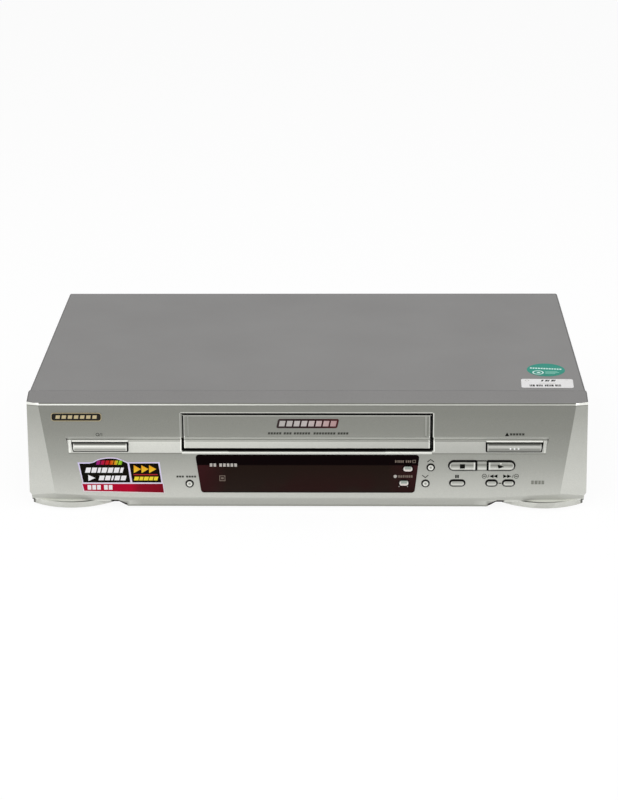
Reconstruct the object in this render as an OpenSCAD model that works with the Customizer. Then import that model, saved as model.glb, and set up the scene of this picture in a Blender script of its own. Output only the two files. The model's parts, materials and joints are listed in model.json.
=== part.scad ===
// Video cassette recorder, standard hi-fi width, with the tape deck inside.
// Units are millimetres, +Z is up and the front faces -Y.

/* [View] */
// Sub-part to build, or all

/* [Case] */
// Width over the front panel
case_width = 431; // [429:0.5:433]
// Height from the table to the flat top
case_height = 92; // [91:0.5:94]
// Step from the front panel's side to the cover's side
cover_step = 2; // [1.6:0.1:2.4]
// Thickness of the cover's sheet
cover_sheet = 1; // [0.6:0.1:1.2]
// Outer bend radius of the cover
cover_bend = 2; // [1.5:0.1:4]
// Thickness of the bottom pan's sheet
pan_sheet = 1; // [0.6:0.1:1.5]
// Height of the bottom pan's side flanges
pan_flange = 12; // [8:0.5:16]
// Thickness of the rear panel
rear_sheet = 1; // [0.6:0.1:1.1]
// Depth of the cover's flange over the rear panel
rear_flange = 9; // [6:0.5:12]
// Width of a ventilation slot
vent_slot = 3; // [2:0.25:4]

/* [Front panel] */
// Wall thickness of the moulded front
front_wall = 2.4; // [2:0.1:2.8]
// Lean of the face, bottom forward
face_lean = 3; // [1.5:0.25:4]
// How far the front's sides lean in at the top
side_lean = 1.4; // [0.8:0.1:1.8]
// Depth of the long groove beside the door
groove_depth = 3; // [2:0.1:3.4]
// Radius of the two round feet of the front
puck_radius = 47; // [44:0.5:48]
// Bevel on the front's top edge
edge_bevel = 1.5; // [0.8:0.1:2]

/* [Door and window] */
// Width of the door's opening
slot_width = 190.6; // [190.2:0.1:191.2]
// Height of the door's opening
slot_height = 29.85; // [29.5:0.05:30.2]
// Gap around the door
door_gap = 1.1; // [0.8:0.05:1.3]
// Thickness of the door
door_wall = 2; // [1.4:0.1:2.2]
// Radius of the door's pivot pins
door_pin = 0.8; // [0.6:0.05:0.85]
// Running fit of the door's pins
door_pin_fit = 0.06; // [0.03:0.01:0.1]
// Thickness of the display window
window_thick = 2; // [1.6:0.1:2.3]
// Clearance around the display window
window_fit = 0.1; // [0.05:0.05:0.2]

/* [Buttons] */
// Gap around a button
button_gap = 0.85; // [0.6:0.05:1]
// How far a button stands out of the face
button_proud = 0.8; // [0.5:0.1:1.2]
// Travel of a button
button_travel = 0.8; // [0.5:0.1:1]
// Thickness of a button's inner flange
button_flange = 1.2; // [0.8:0.1:1.5]

/* [Tape deck] */
// Travel of the carrier into the deck
carrier_travel = 70; // [66:0.5:70]
// Drop of the cassette holder
holder_drop = 21; // [19:0.25:21]
// Inner width of the cassette holder
holder_width = 190.2; // [189.6:0.1:190.6]
// Thickness of the deck's base plate
deck_sheet = 1.2; // [1:0.1:1.3]
// Radius of the head drum
drum_radius = 31; // [30:0.25:32]
// Tilt of the head drum in degrees
drum_tilt = 5; // [3:0.5:6]
// Distance between the two reels
reel_spacing = 92; // [91:0.25:92.5]
// Radius of the reel tables
reel_radius = 21; // [20:0.25:21.2]
// Radius of the capstan
capstan_radius = 2; // [1.5:0.1:2.2]
// Running fit of shafts in bores
shaft_fit = 0.05; // [0.03:0.01:0.09]
// Radius of the pinch roller
pinch_radius = 7; // [6.5:0.1:7.3]
// Radius of the idler's tyre
idler_radius = 12.6; // [12:0.1:12.7]
// Radius of the arc that the tape guides follow
guide_arc = 52; // [51.5:0.1:52.3]
// Gear module of the loading gears
gear_module = 0.9; // [0.88:0.01:0.91]
// Teeth of the cam gear
cam_teeth = 45; // [44:1:46]
// Teeth of the motor's pinion
pinion_teeth = 15; // [14:1:16]
// Play between meshing teeth
gear_play = 0.2; // [0.15:0.05:0.3]

/* [Connectors] */
// Inner radius of the aerial socket
aerial_bore = 4.8; // [4.6:0.05:5]
// Outer radius of the aerial output
aerial_pin = 4.7; // [4.5:0.05:4.75]
// Width of the opening of a 21-pin socket
scart_width = 46.5; // [46:0.25:47.5]
// Height of the opening of a 21-pin socket
scart_height = 13; // [12.5:0.25:14]

/* [Hidden] */
$fn = 48;
hw = case_width / 2;
H = case_height;
seam = -117;
cover_front = seam + 0.3;
cover_back = 128;
pan_z = 9;
// clear of the cover's sides by half a millimetre
pan_x = hw - cover_step - cover_sheet - 0.5;
back_y = cover_back - cover_sheet - rear_sheet - 0.02;
foot_x = pan_x - 32;
post_x = pan_x - 12;
tuner_x = 60 - pan_x;
scart_x = 128 - pan_x;
inlet_x = pan_x - 34;
long_x = hw - 56.6;
puck_x = hw - 32.5;
face_top = H - 6;
slot_low = H - 43.4;
slot_mid = slot_low + slot_height / 2;
groove_low = slot_low - 1.7;
groove_mid = slot_low + 7.5;
groove_top = slot_low + 10.9;
long_z = slot_low + 2.8;
window_low = 14.4;
window_top = slot_low - 3.1;
frame_z = slot_low - 4.6;
door_z = slot_low + 28.6;
door_axis = [fy(door_z) + 1.46, door_z];
board_y = -117.4;
board_t = 1.6;
deck_z = 20;
plate = deck_z + deck_sheet;
drum_at = [0, 47];
capstan_at = [60, 24];
pinch_at = [84, 34];
reel_y = -50;
tension_at = [-74, -4];
idler_at = [0, -20];
cam_at = [-88, 58];
mesh = gear_module * (cam_teeth + pinion_teeth) / 2 + 0.1;
pinion_at = [cam_at[0], cam_at[1] - mesh];
side_x = holder_width / 2;
pin_z = slot_low + 15.4;
pin_ys = [-90, -70];
ledge = slot_low - 0.1;
silver = [0.72, 0.73, 0.69];
steel = [0.7, 0.72, 0.74];
dark = [0.12, 0.12, 0.13];
plastic = [0.2, 0.2, 0.22];
green = [0.1, 0.35, 0.2];

// y of the front face at a height
function fy(z) = -131.5 - face_lean * (face_top - z) / (face_top - 13);
// y of the groove's lower wall at a height
function gy(z) = fy(z) + groove_depth * max(0, (z - groove_low) / 9.2);
// height of a place in the window's field, as a share of it
function row(s) = window_low + s * (window_top - window_low);
// place of a part beside the deck, as its place in the standard width
function beside(x) = 116 + (x - 116) * (pan_x - 116) / 96;
// outline of a rectangle with rounded corners
function rr(w, h, r, n = 6) = [for (q = [[w / 2 - r, h / 2 - r, 0], [r - w / 2, h / 2 - r, 90],
  [r - w / 2, r - h / 2, 180], [w / 2 - r, r - h / 2, 270]]) for (i = [0:n])
  [q[0] + r * cos(q[2] + 90 * i / n), q[1] + r * sin(q[2] + 90 * i / n)]];
function unit(v) = v / norm(v);
// outline with every corner rounded
function rounded(p, r, n = 5) = let (c = len(p)) [for (k = [0:c - 1])
  let (a = p[(k + c - 1) % c], b = p[k], d = p[(k + 1) % c], u = unit(a - b), v = unit(d - b),
    half = acos(u * v) / 2, m = b + unit(u + v) * r / sin(half),
    s = b + u * r / tan(half) - m, e = b + v * r / tan(half) - m)
  for (i = [0:n]) m + r * unit(s * (n - i) / n + e * i / n)];
// outline of an involute gear
function inv(a) = tan(a) * 180 / PI - a;
function flank(r, rb, hp) = hp + inv(20) - (r > rb ? inv(acos(rb / r)) : 0);
function gear(m, z, play) = let (p = m * z / 2, rb = p * cos(20), ra = p + 0.8 * m, rf = p - 1.1 * m,
  hp = 90 / z - play / p * 180 / PI / 4, lo = max(rb, rf), rs = [for (i = [0:4]) lo + (ra - lo) * i / 4])
  [for (t = [0:z - 1]) let (a = 360 * t / z) for (q = concat([[rf, -flank(lo, rb, hp)]],
    [for (r = rs) [r, -flank(r, rb, hp)]], [for (i = [4:-1:0]) [rs[i], flank(rs[i], rb, hp)]],
    [[rf, flank(lo, rb, hp)]])) [q[0] * cos(a + q[1]), q[0] * sin(a + q[1])]];

// extrude an x-z outline between two y values
module front(y0, y1) translate([0, y1, 0]) rotate([90, 0, 0]) linear_extrude(y1 - y0) children();
// extrude a y-z outline between two x values
module side(x0, x1) translate([x0, 0, 0]) rotate([90, 0, 90]) linear_extrude(x1 - x0) children();
module disc(at, z0, z1, r) translate([at[0], at[1], z0]) cylinder(h = z1 - z0, r = r);
module tube(at, z0, z1, r, b) difference() {
  disc(at, z0, z1, r);
  disc(at, z0 - 1, z1 + 1, b);
}
module box(x0, x1, y0, y1, z0, z1) translate([x0, y0, z0]) cube([x1 - x0, y1 - y0, z1 - z0]);
module both() {
  children();
  mirror([1, 0, 0]) children();
}

// the space in front of a side facet, set back by a wall
module facet_cut(back) translate([hw - 10.5, -131.5, face_top]) rotate([-0.49, 0, 13])
  translate([-60, -60 + back, -140]) cube([160, 60, 200]);

module front_panel() color(silver) difference() {
  union() {
    difference() {
      side(-hw, hw) polygon([[seam, H], [-130.7, face_top + 0.9],
        [fy(face_top), face_top + 0.9 - edge_bevel], [fy(10.3), 10.3], [-131.6, 3], [seam, 3]]);
      both() facet_cut(0);
      // sides lean in at the top, and flare from the cover
      both() {
        front(-150, -100) polygon([[hw - side_lean * 1.1, H + 1], [hw, 12.8], [hw - 1.6, 10.8], [hw - 1.8, 2],
          [hw + 3, 2], [hw + 3, H + 1]]);
        translate([0, 0, -1]) linear_extrude(H + 3) polygon([[hw - cover_step, seam + 1],
          [hw - cover_step, seam], [hw, seam - 8], [hw + 3, seam - 8], [hw + 3, seam + 1]]);
      }
      // undercut of the two ends and the rising crease
      both() {
        front(-150, -100) polygon([[hw - 75.9, 2], [hw - 69.9, 6.3], [hw + 1, 6.3], [hw + 1, 2]]);
        translate([hw - 78.5, fy(10.3), 10.3]) rotate([0, -3.45, 0]) side(0, 60)
          polygon([[-6, 0], [0, 0], [3, -7.6], [-6, -12]]);
        translate([hw - 20.5, fy(13.8), 13.8]) rotate([0, 9.5, 13]) side(-0.4, 32)
          polygon([[-6, 0], [0, 0], [3, -7.6], [-6, -12]]);
      }
      // hollow behind the face
      difference() {
        side(-hw + cover_step + front_wall, hw - cover_step - front_wall) polygon([[seam + 1, H - front_wall],
          [-129.2, face_top - 1.6], [fy(slot_low + 13.4) + front_wall, slot_low + 14],
          [fy(slot_low + 13.4) + front_wall + 3, slot_low + 12.4],
          [fy(frame_z) + front_wall + 3, frame_z - 0.4], [fy(frame_z) + front_wall, frame_z - 1.6],
          [fy(14) + front_wall, 14], [-130, 9.4], [seam + 1, 9.4]]);
        both() facet_cut(front_wall);
        // frame behind the window
        front(-140, fy(frame_z) + front_wall + 2)
          polygon([[-92, 8], [-92, frame_z + 4], [92, frame_z + 4], [92, 8]]);
      }
    }
    // round feet under the ends
    both() difference() {
      disc([puck_x, -90], 2.6, 6.9, puck_radius);
      box(-300, 300, -122, 200, 0, 20);
      box(hw - 2.2, 300, -200, 200, 0, 20);
    }
    // ears for the door's pins and tabs over the pan
    both() {
      box(slot_width / 2, slot_width / 2 + 3.4, -131, -125.6, door_z - 5.2, door_z + 6.8);
      box(hw - 65.5, hw - 45.5, -122, -110, 6.3, pan_z - 0.1);
    }
  }
  // groove beside the door
  both() intersection() {
    side(60, hw - 15) polygon([[fy(groove_top), groove_top], [gy(groove_mid), groove_mid],
      [fy(groove_low), groove_low], [-150, groove_low], [-150, groove_top]]);
    front(-150, -100) polygon([[60, groove_top], [hw - 30.5, groove_top], [hw - 32.6, groove_low],
      [60, groove_low]]);
  }
  // door opening with its pin bores
  front(-150, -100) polygon(move(rr(slot_width, slot_height, 0.8), [0, slot_mid]));
  translate([-slot_width / 2 - 2.6, door_axis[0], door_axis[1]]) rotate([0, 90, 0])
    cylinder(h = slot_width + 5.2, r = door_pin + door_pin_fit);
  // window recess and opening
  lean() front(-1, window_thick) polygon(window_outline(0));
  front(-150, -100) polygon(rounded([[-79, window_top - 4], [62, window_top - 4], [62, window_low + 4],
    [-76.5, window_low + 4]], 2));
  // button holes, with a line above and below the bridge of the upper pair
  for (b = caps) hole(b);
  both() front(-150, -100) polygon(move(long_outline(0), [long_x, long_z]));
  for (z = [4.05, -4.4]) box(129.9, 138.8, -150, fy(caps[0][1]) + 0.7, caps[0][1] + z, caps[0][1] + z + 0.35);
}
function move(p, d) = [for (q = p) q + d];
// place an outline's extrusion in the leaning face's frame, with y = 0 on the face
module lean() multmatrix([[1, 0, 0, 0], [0, 1, -slope, -131.5 + slope * face_top], [0, 0, 1, 0]]) children();
slope = -face_lean / (face_top - 13);
function window_outline(c) = rounded([[-85.8 + c, window_top - c], [86.5 - c, window_top - c],
  [82.8 - c, window_low + c], [-81.7 + c, window_low + c]], 2.5 - c);

// round-ended buttons: x, z, width and height of the hole
caps = [[119.15, row(0.72), 21.7, 9], [149.4, row(0.72), 21.4, 9], [115.65, row(0.262), 12.7, 6.1],
  [141.95, row(0.262), 9.8, 6.1], [155, row(0.262), 10.2, 6.1], [95.1, row(0.669), 6.6, 6.6],
  [91.2, row(0.248), 6.6, 6.6], [-90.6, row(0.235), 6.6, 6.6], [77.6, row(0.633), 8.6, 5.9],
  [74.6, row(0.26), 8.6, 5.9]];
// corner radius of each: the pair beside the centre bridge is square on its inner end
module cap_outline(b, g) {
  i = b[0] == caps[0][0] ? -1 : b[0] == caps[1][0] ? 1 : 0;
  w = b[2] + 2 * g;
  h = b[3] + 2 * g;
  r = h / 2 - 0.01;
  polygon(move(i == 0 ? rr(w, h, r) : [for (q = rr(w, h, r)) q[0] * i < 0
    ? [q[0] > 0 ? w / 2 : -w / 2, q[1] > 0 ? h / 2 : -h / 2] : q], [b[0], b[1]]));
}
module hole(b) front(-150, -100) cap_outline(b, 0);
// a pressed cap with its flange and plunger
module button(b, z = 0) {
  back = fy(b[1] + b[3] / 2 + 0.6) + 0.15 + front_wall + (abs(b[0]) < 98 ? fy(frame_z) - fy(14) + 2 : 0);
  difference() {
    union() {
      front(fy(b[1]) - button_proud, back + button_flange) cap_outline(b, -button_gap);
      front(back, back + button_flange) cap_outline(b, 0.5);
      front(back, plunger_y) polygon(move(rr(3, 3, 0.5), [b[0], b[1]]));
    }
    // dished face
    translate([b[0], fy(b[1]) - button_proud - 60 + 0.25, b[1]]) sphere(r = 60, $fn = 96);
  }
}
plunger_y = board_y - 3.6 - button_travel - 0.1;
flange_y = fy(slot_low + 9.4) + front_wall + 3.15;
// outline of a long button on the right, slanted on its outer end
function long_outline(c) = rounded([[c - 21.9, 3.95 - c], [22.6 - c, 3.95 - c], [21 - c, c - 3.95],
  [c - 21.9, c - 3.95]], 1);
module long_button(x, dots) difference() {
  union() {
    intersection() {
      front(-140, flange_y + button_flange) translate([x, long_z])
        scale([sign(x), 1]) polygon(long_outline(button_gap));
      side(x - 30, x + 30) polygon([[-100, long_z - 10], [gy(long_z - 3.8) - 0.5, long_z - 5],
        [gy(long_z - 2.8) - 0.9, long_z - 2.4], [fy(long_z + 2.6) + 0.3, long_z + 2.2],
        [fy(long_z + 3.6) + 1.4, long_z + 4], [-100, long_z + 6]]);
    }
    front(flange_y, flange_y + button_flange) polygon(move(rr(45.8, 10.2, 1), [x, long_z]));
    front(flange_y, plunger_y) polygon(move(rr(3, 3, 0.5), [x, long_z]));
    for (i = [-1:1]) if (dots)
      translate([x + i * 3.1, gy(long_z - 2.4) - 0.9, long_z - 1]) sphere(r = 0.7, $fn = 16);
  }
}

module display_window() color([0.1, 0.02, 0.02]) difference() {
  lean() front(-0.1, window_thick - 0.1) polygon(window_outline(window_fit));
  hole(caps[8]);
  hole(caps[9]);
}

module cassette_door() color(silver) {
  lo = slot_low + 1.7;
  hi = slot_low + slot_height - 0.75;
  w = slot_width / 2 - door_gap;
  difference() {
    side(-w, w) polygon([[fy(hi), hi], [fy(groove_top), groove_top], [gy(groove_mid), groove_mid],
      [gy(lo), lo],
      [gy(lo) + door_wall, lo], [gy(groove_mid) + door_wall, groove_mid + 0.5],
      [fy(groove_top) + door_wall, groove_top + 1.1], [fy(hi) + door_wall + 0.5, hi]]);
    lean() for (x = [-91, 91]) box(x - 0.3, x + 0.3, -5, 0.25, groove_top + 0.5, hi + 2);
  }
  for (x = [-w - 2.6, w - 1]) translate([x, door_axis[0], door_axis[1]]) rotate([0, 90, 0])
    cylinder(h = 3.6, r = door_pin);
}

module door_spring() color(steel) translate([-slot_width / 2 - 3.7, -126.8, door_z + 2.8]) {
  for (i = [0:4]) translate([-0.7 * i - 0.4, 0, 0]) rotate([0, 90, 0]) rotate_extrude() translate([2, 0])
    circle(r = 0.34, $fn = 12);
  translate([-0.4, 2, -0.5]) cylinder(h = 6, r = 0.3, $fn = 12);
  translate([-3.2, 2, -6]) cylinder(h = 6.5, r = 0.3, $fn = 12);
  translate([-5, 0, 0]) rotate([0, 90, 0]) cylinder(h = 5.1, r = 1.5);
}

module bottom_chassis() color(steel) difference() {
  union() {
    box(-pan_x, pan_x, -113, back_y - 0.02, pan_z, pan_z + pan_sheet);
    both() box(pan_x - pan_sheet, pan_x, -113, back_y - 0.02, pan_z, pan_z + pan_flange);
    box(-pan_x, pan_x, -113, -113 + pan_sheet, pan_z, pan_z + 5);
    box(-pan_x, pan_x, back_y - 0.02 - pan_sheet, back_y - 0.02, pan_z, pan_z + 5.5);
    // posts for the deck and the board
    both() for (y = [-100, 76]) disc([110, y], pan_z, deck_z, 4);
    both() for (y = [-92, 0, 100]) disc([post_x, y], pan_z, 13, 3.5);
    both() disc([60, 108], pan_z, 13, 3.5);
    // stiffening ribs
    for (x = [-60, 0]) box(x - 4, x + 4, -90, 20, pan_z, pan_z + pan_sheet + 0.8);
  }
  both() for (i = [0:3]) box(beside(132 + i * 7), beside(132 + i * 7) + vent_slot, -70, -30, 0, 12);
  for (i = [0:6]) box(beside(120 + i * 7), beside(120 + i * 7) + vent_slot, 34, 84, 0, 12);
  both() for (y = [-60, 70]) disc([foot_x, y], 0, 40, 1.9);
}

module top_cover() color([0.45, 0.45, 0.45]) difference() {
  union() {
    c = hw - cover_step;
    difference() {
      front(cover_front, cover_back) polygon(concat([[c, 8.4], [c, H - cover_bend]],
        arc(c - cover_bend, H - cover_bend, cover_bend, 0),
        arc(cover_bend - c, H - cover_bend, cover_bend, 90), [[-c, H - cover_bend], [-c, 8.4]]));
      front(cover_front - 1, cover_back + 1) polygon(concat([[c - cover_sheet, 0]],
        arc(c - cover_bend, H - cover_bend, cover_bend - cover_sheet, 0),
        arc(cover_bend - c, H - cover_bend, cover_bend - cover_sheet, 90), [[cover_sheet - c, 0]]));
    }
    front(cover_back - cover_sheet, cover_back)
      polygon([[-c + 3, H - 1], [c - 3, H - 1], [c - 3, H - rear_flange], [-c + 3, H - rear_flange]]);
  }
  // side vents and screw holes
  for (i = [0:11]) for (z = [H - 34, H - 22]) box(-300, 300, 20 + i * 8, 20 + i * 8 + vent_slot, z, z + 8);
  for (y = [-70, 84]) translate([-300, y, 28]) rotate([0, 90, 0]) cylinder(h = 600, r = 1.7);
  for (x = [-150, 0, 150]) translate([x, 100, H - 5]) rotate([-90, 0, 0]) cylinder(h = 60, r = 1.7);
}
function arc(x, z, r, a, n = 6) = [for (i = [0:n])
  [x + r * cos(a + 90 * i / n), z + r * sin(a + 90 * i / n)]];

module cover_screws() color(dark) {
  c = hw - cover_step;
  both() for (y = [-70, 84]) translate([c, y, 28]) rotate([0, 90, 0]) screw(cover_step - 0.2);
  for (x = [-150, 0, 150]) translate([x, cover_back, H - 5]) rotate([-90, 0, 0]) screw(1.6);
}
module screw(h) difference() {
  union() {
    cylinder(h = h, r = 3.4);
    translate([0, 0, -5]) cylinder(h = 5.1, r = 1.5);
  }
  for (a = [0, 90]) rotate([0, 0, a]) translate([-2, -0.45, h - 0.7]) cube([4, 0.9, 2]);
}

module rear_panel() color(steel) difference() {
  union() {
    front(back_y, back_y + rear_sheet) polygon(move(rr(2 * pan_x, H - 12, 1.5), [0, (H + 8.8) / 2]));
    // bent tabs that sit on the pan's rear lip
    both() box(94, 114, back_y - 3.5, back_y + 0.1, pan_z + 5.52, pan_z + 6.4);
  }
  for (z = [36, 62]) front(100, 140) polygon(move(rr(54, 17, 1), [scart_x, z]));
  front(100, 140) polygon(move(rr(20, 40, 1), [tuner_x, 44]));
  front(100, 140) polygon(move(rr(25, 15, 1), [inlet_x, 34]));
  for (i = [0:13]) box(60 + i * 7, 60 + i * 7 + vent_slot, 100, 140, 52, 76);
  for (x = [-150, 0, 150]) translate([x, 100, H - 5]) rotate([-90, 0, 0]) cylinder(h = 60, r = 1.7);
}

module feet() color(dark) both() for (y = [-60, 70]) {
  disc([foot_x, y], 1.6, 3.2, 14.4);
  disc([foot_x, y], 3.1, pan_z, 15);
  disc([foot_x, y], pan_z - 1, pan_z + pan_sheet + 3, 1.8);
}
module foot_pads() color([0.05, 0.05, 0.05]) both() for (y = [-60, 70]) disc([foot_x, y], 0, 1.6, 13.5);

module ac_inlet() color(dark) difference() {
  union() {
    front(104, 127.5) polygon(move(rr(24, 14, 1), [inlet_x, 34]));
    front(127.1, 128.6) polygon(move(rr(28, 18, 1.5), [inlet_x, 34]));
    box(inlet_x - 10, inlet_x + 10, 104, 112, 14.6, 30);
    for (x = [-4.3, 4.3]) translate([inlet_x + x, 112, 34]) rotate([-90, 0, 0]) cylinder(h = 13, r = 1.15);
  }
  difference() {
    front(113, 140) polygon(move(rr(16.5, 8.2, 4), [inlet_x, 34]));
    for (x = [-4.3, 4.3]) translate([inlet_x + x, 112, 34]) rotate([-90, 0, 0]) cylinder(h = 13, r = 1.15);
  }
}

module scart_sockets() color(dark) for (z = [36, 62]) {
  difference() {
    union() {
      front(108, 131) polygon(move(rr(52, 15.6, 0.8), [scart_x, z]));
      front(127.1, 128.4) polygon(move(rr(58, 19.5, 1.2), [scart_x, z]));
    }
    front(112, 140) polygon(move([[-scart_width / 2, scart_height / 2], [scart_width / 2, scart_height / 2],
      [scart_width / 2, 1.5 - scart_height / 2], [scart_width / 2 - 4, -scart_height / 2],
      [-scart_width / 2, -scart_height / 2]], [scart_x, z]));
  }
  for (x = [scart_x - 24, scart_x + 24]) box(x - 1, x + 1, 109, 113, 14.6, z - 7.7);
}

module tuner_can() color(steel) {
  difference() {
    box(tuner_x - 28, tuner_x + 28, 90, back_y - 0.1, 14.7, 68);
    for (i = [-2:2]) box(tuner_x - 3 + i * 10, tuner_x + 3 + i * 10, 96, 118, 67, 70);
  }
  for (z = [34, 54]) translate([tuner_x, 125, z]) rotate([-90, 0, 0]) cylinder(h = 3.6, r = 8);
  translate([tuner_x, 128, 54]) rotate([-90, 0, 0]) difference() {
    cylinder(h = 9, r = 6.6);
    translate([0, 0, -0.01]) cylinder(h = 20, r = aerial_bore);
  }
  translate([tuner_x, 128, 34]) rotate([-90, 0, 0]) difference() {
    cylinder(h = 9, r = aerial_pin);
    cylinder(h = 20, r = aerial_pin - 0.6);
  }
  translate([tuner_x, 128, 34]) rotate([-90, 0, 0]) cylinder(h = 8.6, r = 1.2);
}

module main_board() color(green) difference() {
  linear_extrude(1.6) polygon([[4 - pan_x, -108], [-120, -108], [-120, 87], [120, 87], [120, -60],
    [pan_x - 4, -60], [pan_x - 4, back_y - 4], [4 - pan_x, back_y - 4]]);
  both() for (y = [-92, 0, 100]) disc([post_x, y], -1, 5, 1.6);
}
module board_components() color(dark) {
  for (i = [0:5]) disc([-beside(196 - i * 12), 76], 14.6, 30 + 3 * (i % 3), 4.2);
  for (i = [0:4]) disc([-beside(150), -90 + i * 16], 14.6, 27 + 2 * (i % 2), 5);
  for (i = [0:2]) box(-beside(186) - 14, 14 - beside(186), -80 + i * 44, -60 + i * 44, 14.6, 18);
  box(-60, -36, 92, 104, 14.6, 18);
  box(0, 40, 94, 112, 14.6, 18);
  box(60, 84, 92, 104, 14.6, 17);
  for (i = [0:4]) disc([-20 + i * 24, 118], 14.6, 24 + 2 * (i % 2), 3.5);
  disc([beside(140), 20], 14.6, 46, 11);
  disc([beside(168), 20], 14.6, 42, 9);
  for (i = [0:3]) disc([beside(135 + i * 16), -40], 14.6, 32, 5.5);
  box(beside(139) - 11, beside(139) + 11, -20, -4, 14.6, 34);
  // board connector
  box(-beside(130) - 5, 5 - beside(130), -40, 20, 14.6, 22);
}
module power_transformer() color([0.35, 0.3, 0.25]) translate([pan_x - 39, 0, 0]) {
  difference() {
    box(-27, 27, 44, 88, 16, 56);
    box(-17, 17, 40, 92, 26, 46);
  }
  box(-16, 16, 40.5, 91.5, 26, 46);
  for (x = [-24, 24]) for (y = [50, 82]) disc([x, y], 14.6, 16.1, 2.5);
}
module heat_sink() color([0.75, 0.76, 0.78]) translate([inlet_x - 36, 0, 0]) {
  box(-24, 24, 108, 111, 14.7, 50);
  for (i = [0:7]) box(-23 + i * 6.4, -21.6 + i * 6.4, 96, 108.1, 18, 50);
}

module front_board() color(green) front(board_y, board_y + board_t)
  polygon([[-post_x, 12], [post_x, 12], [post_x, slot_low + 11.4], [104, slot_low + 11.4],
    [104, slot_low - 2.1], [-104, slot_low - 2.1], [-104, slot_low + 11.4], [-post_x, slot_low + 11.4]]);
module tact_switches() color(dark) {
  for (b = caps) switch(b[0], b[1]);
  switch(long_x, long_z);
  switch(-long_x, long_z);
}
module switch(x, z) {
  box(x - 3, x + 3, board_y - 2.6, board_y - 0.02, z - 3, z + 3);
  front(board_y - 3.6, board_y - 2.5) polygon(move(rr(3, 3, 1), [x, z]));
}
module display_module() color([0.15, 0.25, 0.25]) translate([-8, 0, row(0.5)]) {
  front(board_y - 7.5, board_y - 1.5) polygon(rr(128, 22, 0.5));
  for (x = [-61, 58]) box(x, x + 3, board_y - 1.6, board_y - 0.02, -9, 9);
  front(board_y - 8.3, board_y - 7.4) polygon(rr(122, 18, 0.5));
}

module deck_chassis() color(steel) {
  difference() {
    union() {
      box(-116, 116, -108, 84, deck_z, plate);
      for (x = [-116, 115]) box(x, x + 1, -90, 66, 14, deck_z + 0.1);
      box(-100, 100, 83, 84, deck_z, 27);
    }
    disc(drum_at, 0, 40, 20);
    disc(capstan_at, 0, 40, 5.6);
    both() disc([110, -100], 0, 40, 1.5);
    both() disc([110, 76], 0, 40, 1.5);
    both() guide_slot();
    box(-18, 18, -96, -74, 0, 40);
    both() box(84, 98, -80, -20, 0, 40);
    both() disc([66, -92], 0, 40, 6);
  }
  both() disc([reel_spacing / 2, reel_y], deck_z, 36, 2);
  disc(idler_at, deck_z, 30, 1.5);
  disc(tension_at, deck_z, 26, 1.5);
  disc(pinch_at, deck_z, 36, 2);
  disc(cam_at, deck_z, 29, 2.5);
}
// arc slot for a tape guide's peg, on the right side
module guide_slot() intersection() {
  tube(drum_at, 0, 40, guide_arc + 2, guide_arc - 2);
  translate([drum_at[0], drum_at[1], 0]) linear_extrude(60) polygon([[0, 0], for (i = [0:8])
    [90 * cos(-53 + i * 10.9), 90 * sin(-53 + i * 10.9)]]);
}

module carriage_side() {
  difference() {
    union() {
      box(105, 106, -112, 12, plate, H - 6);
      box(105.5, 115, -60, 8, plate, plate + 1);
      box(105.5, 115, -106, -92, plate, plate + 1);
      box(99.9, 105.1, -112, 12, pin_z - 27.2, pin_z - 26.2);
      box(102.4, 105.1, -112, 12, H - 7.8, H - 6.8);
    }
    // slots for the holder's pins: in, then down
    for (y = pin_ys) {
      box(90, 110, y - 2.2, y + carrier_travel + 2.2, pin_z - 2.2, pin_z + 2.2);
      if (y == pin_ys[1]) box(90, 110, y + carrier_travel - 2.2, y + carrier_travel + 2.2,
        pin_z - holder_drop - 2.2, pin_z);
    }
    box(100.1, 110, -100, -40, pin_z + 8, pin_z + 15);
    box(100.1, 110, -104, 4, plate + 2.8, pin_z - 30);
    disc([110, -100], 0, 60, 1.5);
  }
}
module carriage_left() color(steel) mirror([1, 0, 0]) carriage_side();
module carriage_right() color(steel) carriage_side();
module carriage_bridge() color(steel) difference() {
  union() {
    box(-106, 106, -98, -20, H - 5.98, H - 5);
    for (y = [-98, -21]) box(-100, 100, y, y + 1, H - 7.4, H - 5.9);
  }
  for (x = [-70, 0, 70]) box(x - 24, x + 24, -80, -40, H - 12, H - 2);
}

module holder_carrier() color([0.25, 0.25, 0.27]) {
  both() difference() {
    box(101, 102.2, -98, -60, pin_z - 26, H - 8);
    for (y = pin_ys) {
      box(90, 110, y - 2.1, y + 2.1, pin_z - holder_drop, pin_z);
      for (z = [pin_z - holder_drop, pin_z]) translate([90, y, z]) rotate([0, 90, 0])
        cylinder(h = 20, r = 2.1);
    }
    box(90, 110, -84, -76, pin_z - 20, pin_z + 14);
  }
  box(-102.2, 102.2, -64, -60, H - 11.6, H - 10);
}
module cassette_holder() color(steel) {
  difference() {
    union() {
      both() {
        box(80, side_x + 0.8, -114, -59, ledge, ledge + 0.8);
        box(side_x, side_x + 0.8, -114, -59, ledge, ledge + 28.5);
        box(80, side_x + 0.8, -59.8, -59, ledge, ledge + 28.5);
        for (y = pin_ys) translate([side_x + 0.4, y, pin_z]) rotate([0, 90, 0])
          cylinder(h = 104 - side_x - 0.4, r = 1.8);
      }
      box(-side_x - 0.8, side_x + 0.8, -99, -59, ledge + 27.7, ledge + 28.5);
    }
    box(-30, 30, -92, -70, ledge + 22, ledge + 32);
    both() box(46, 74, -92, -70, ledge + 22, ledge + 32);
  }
}

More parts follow.
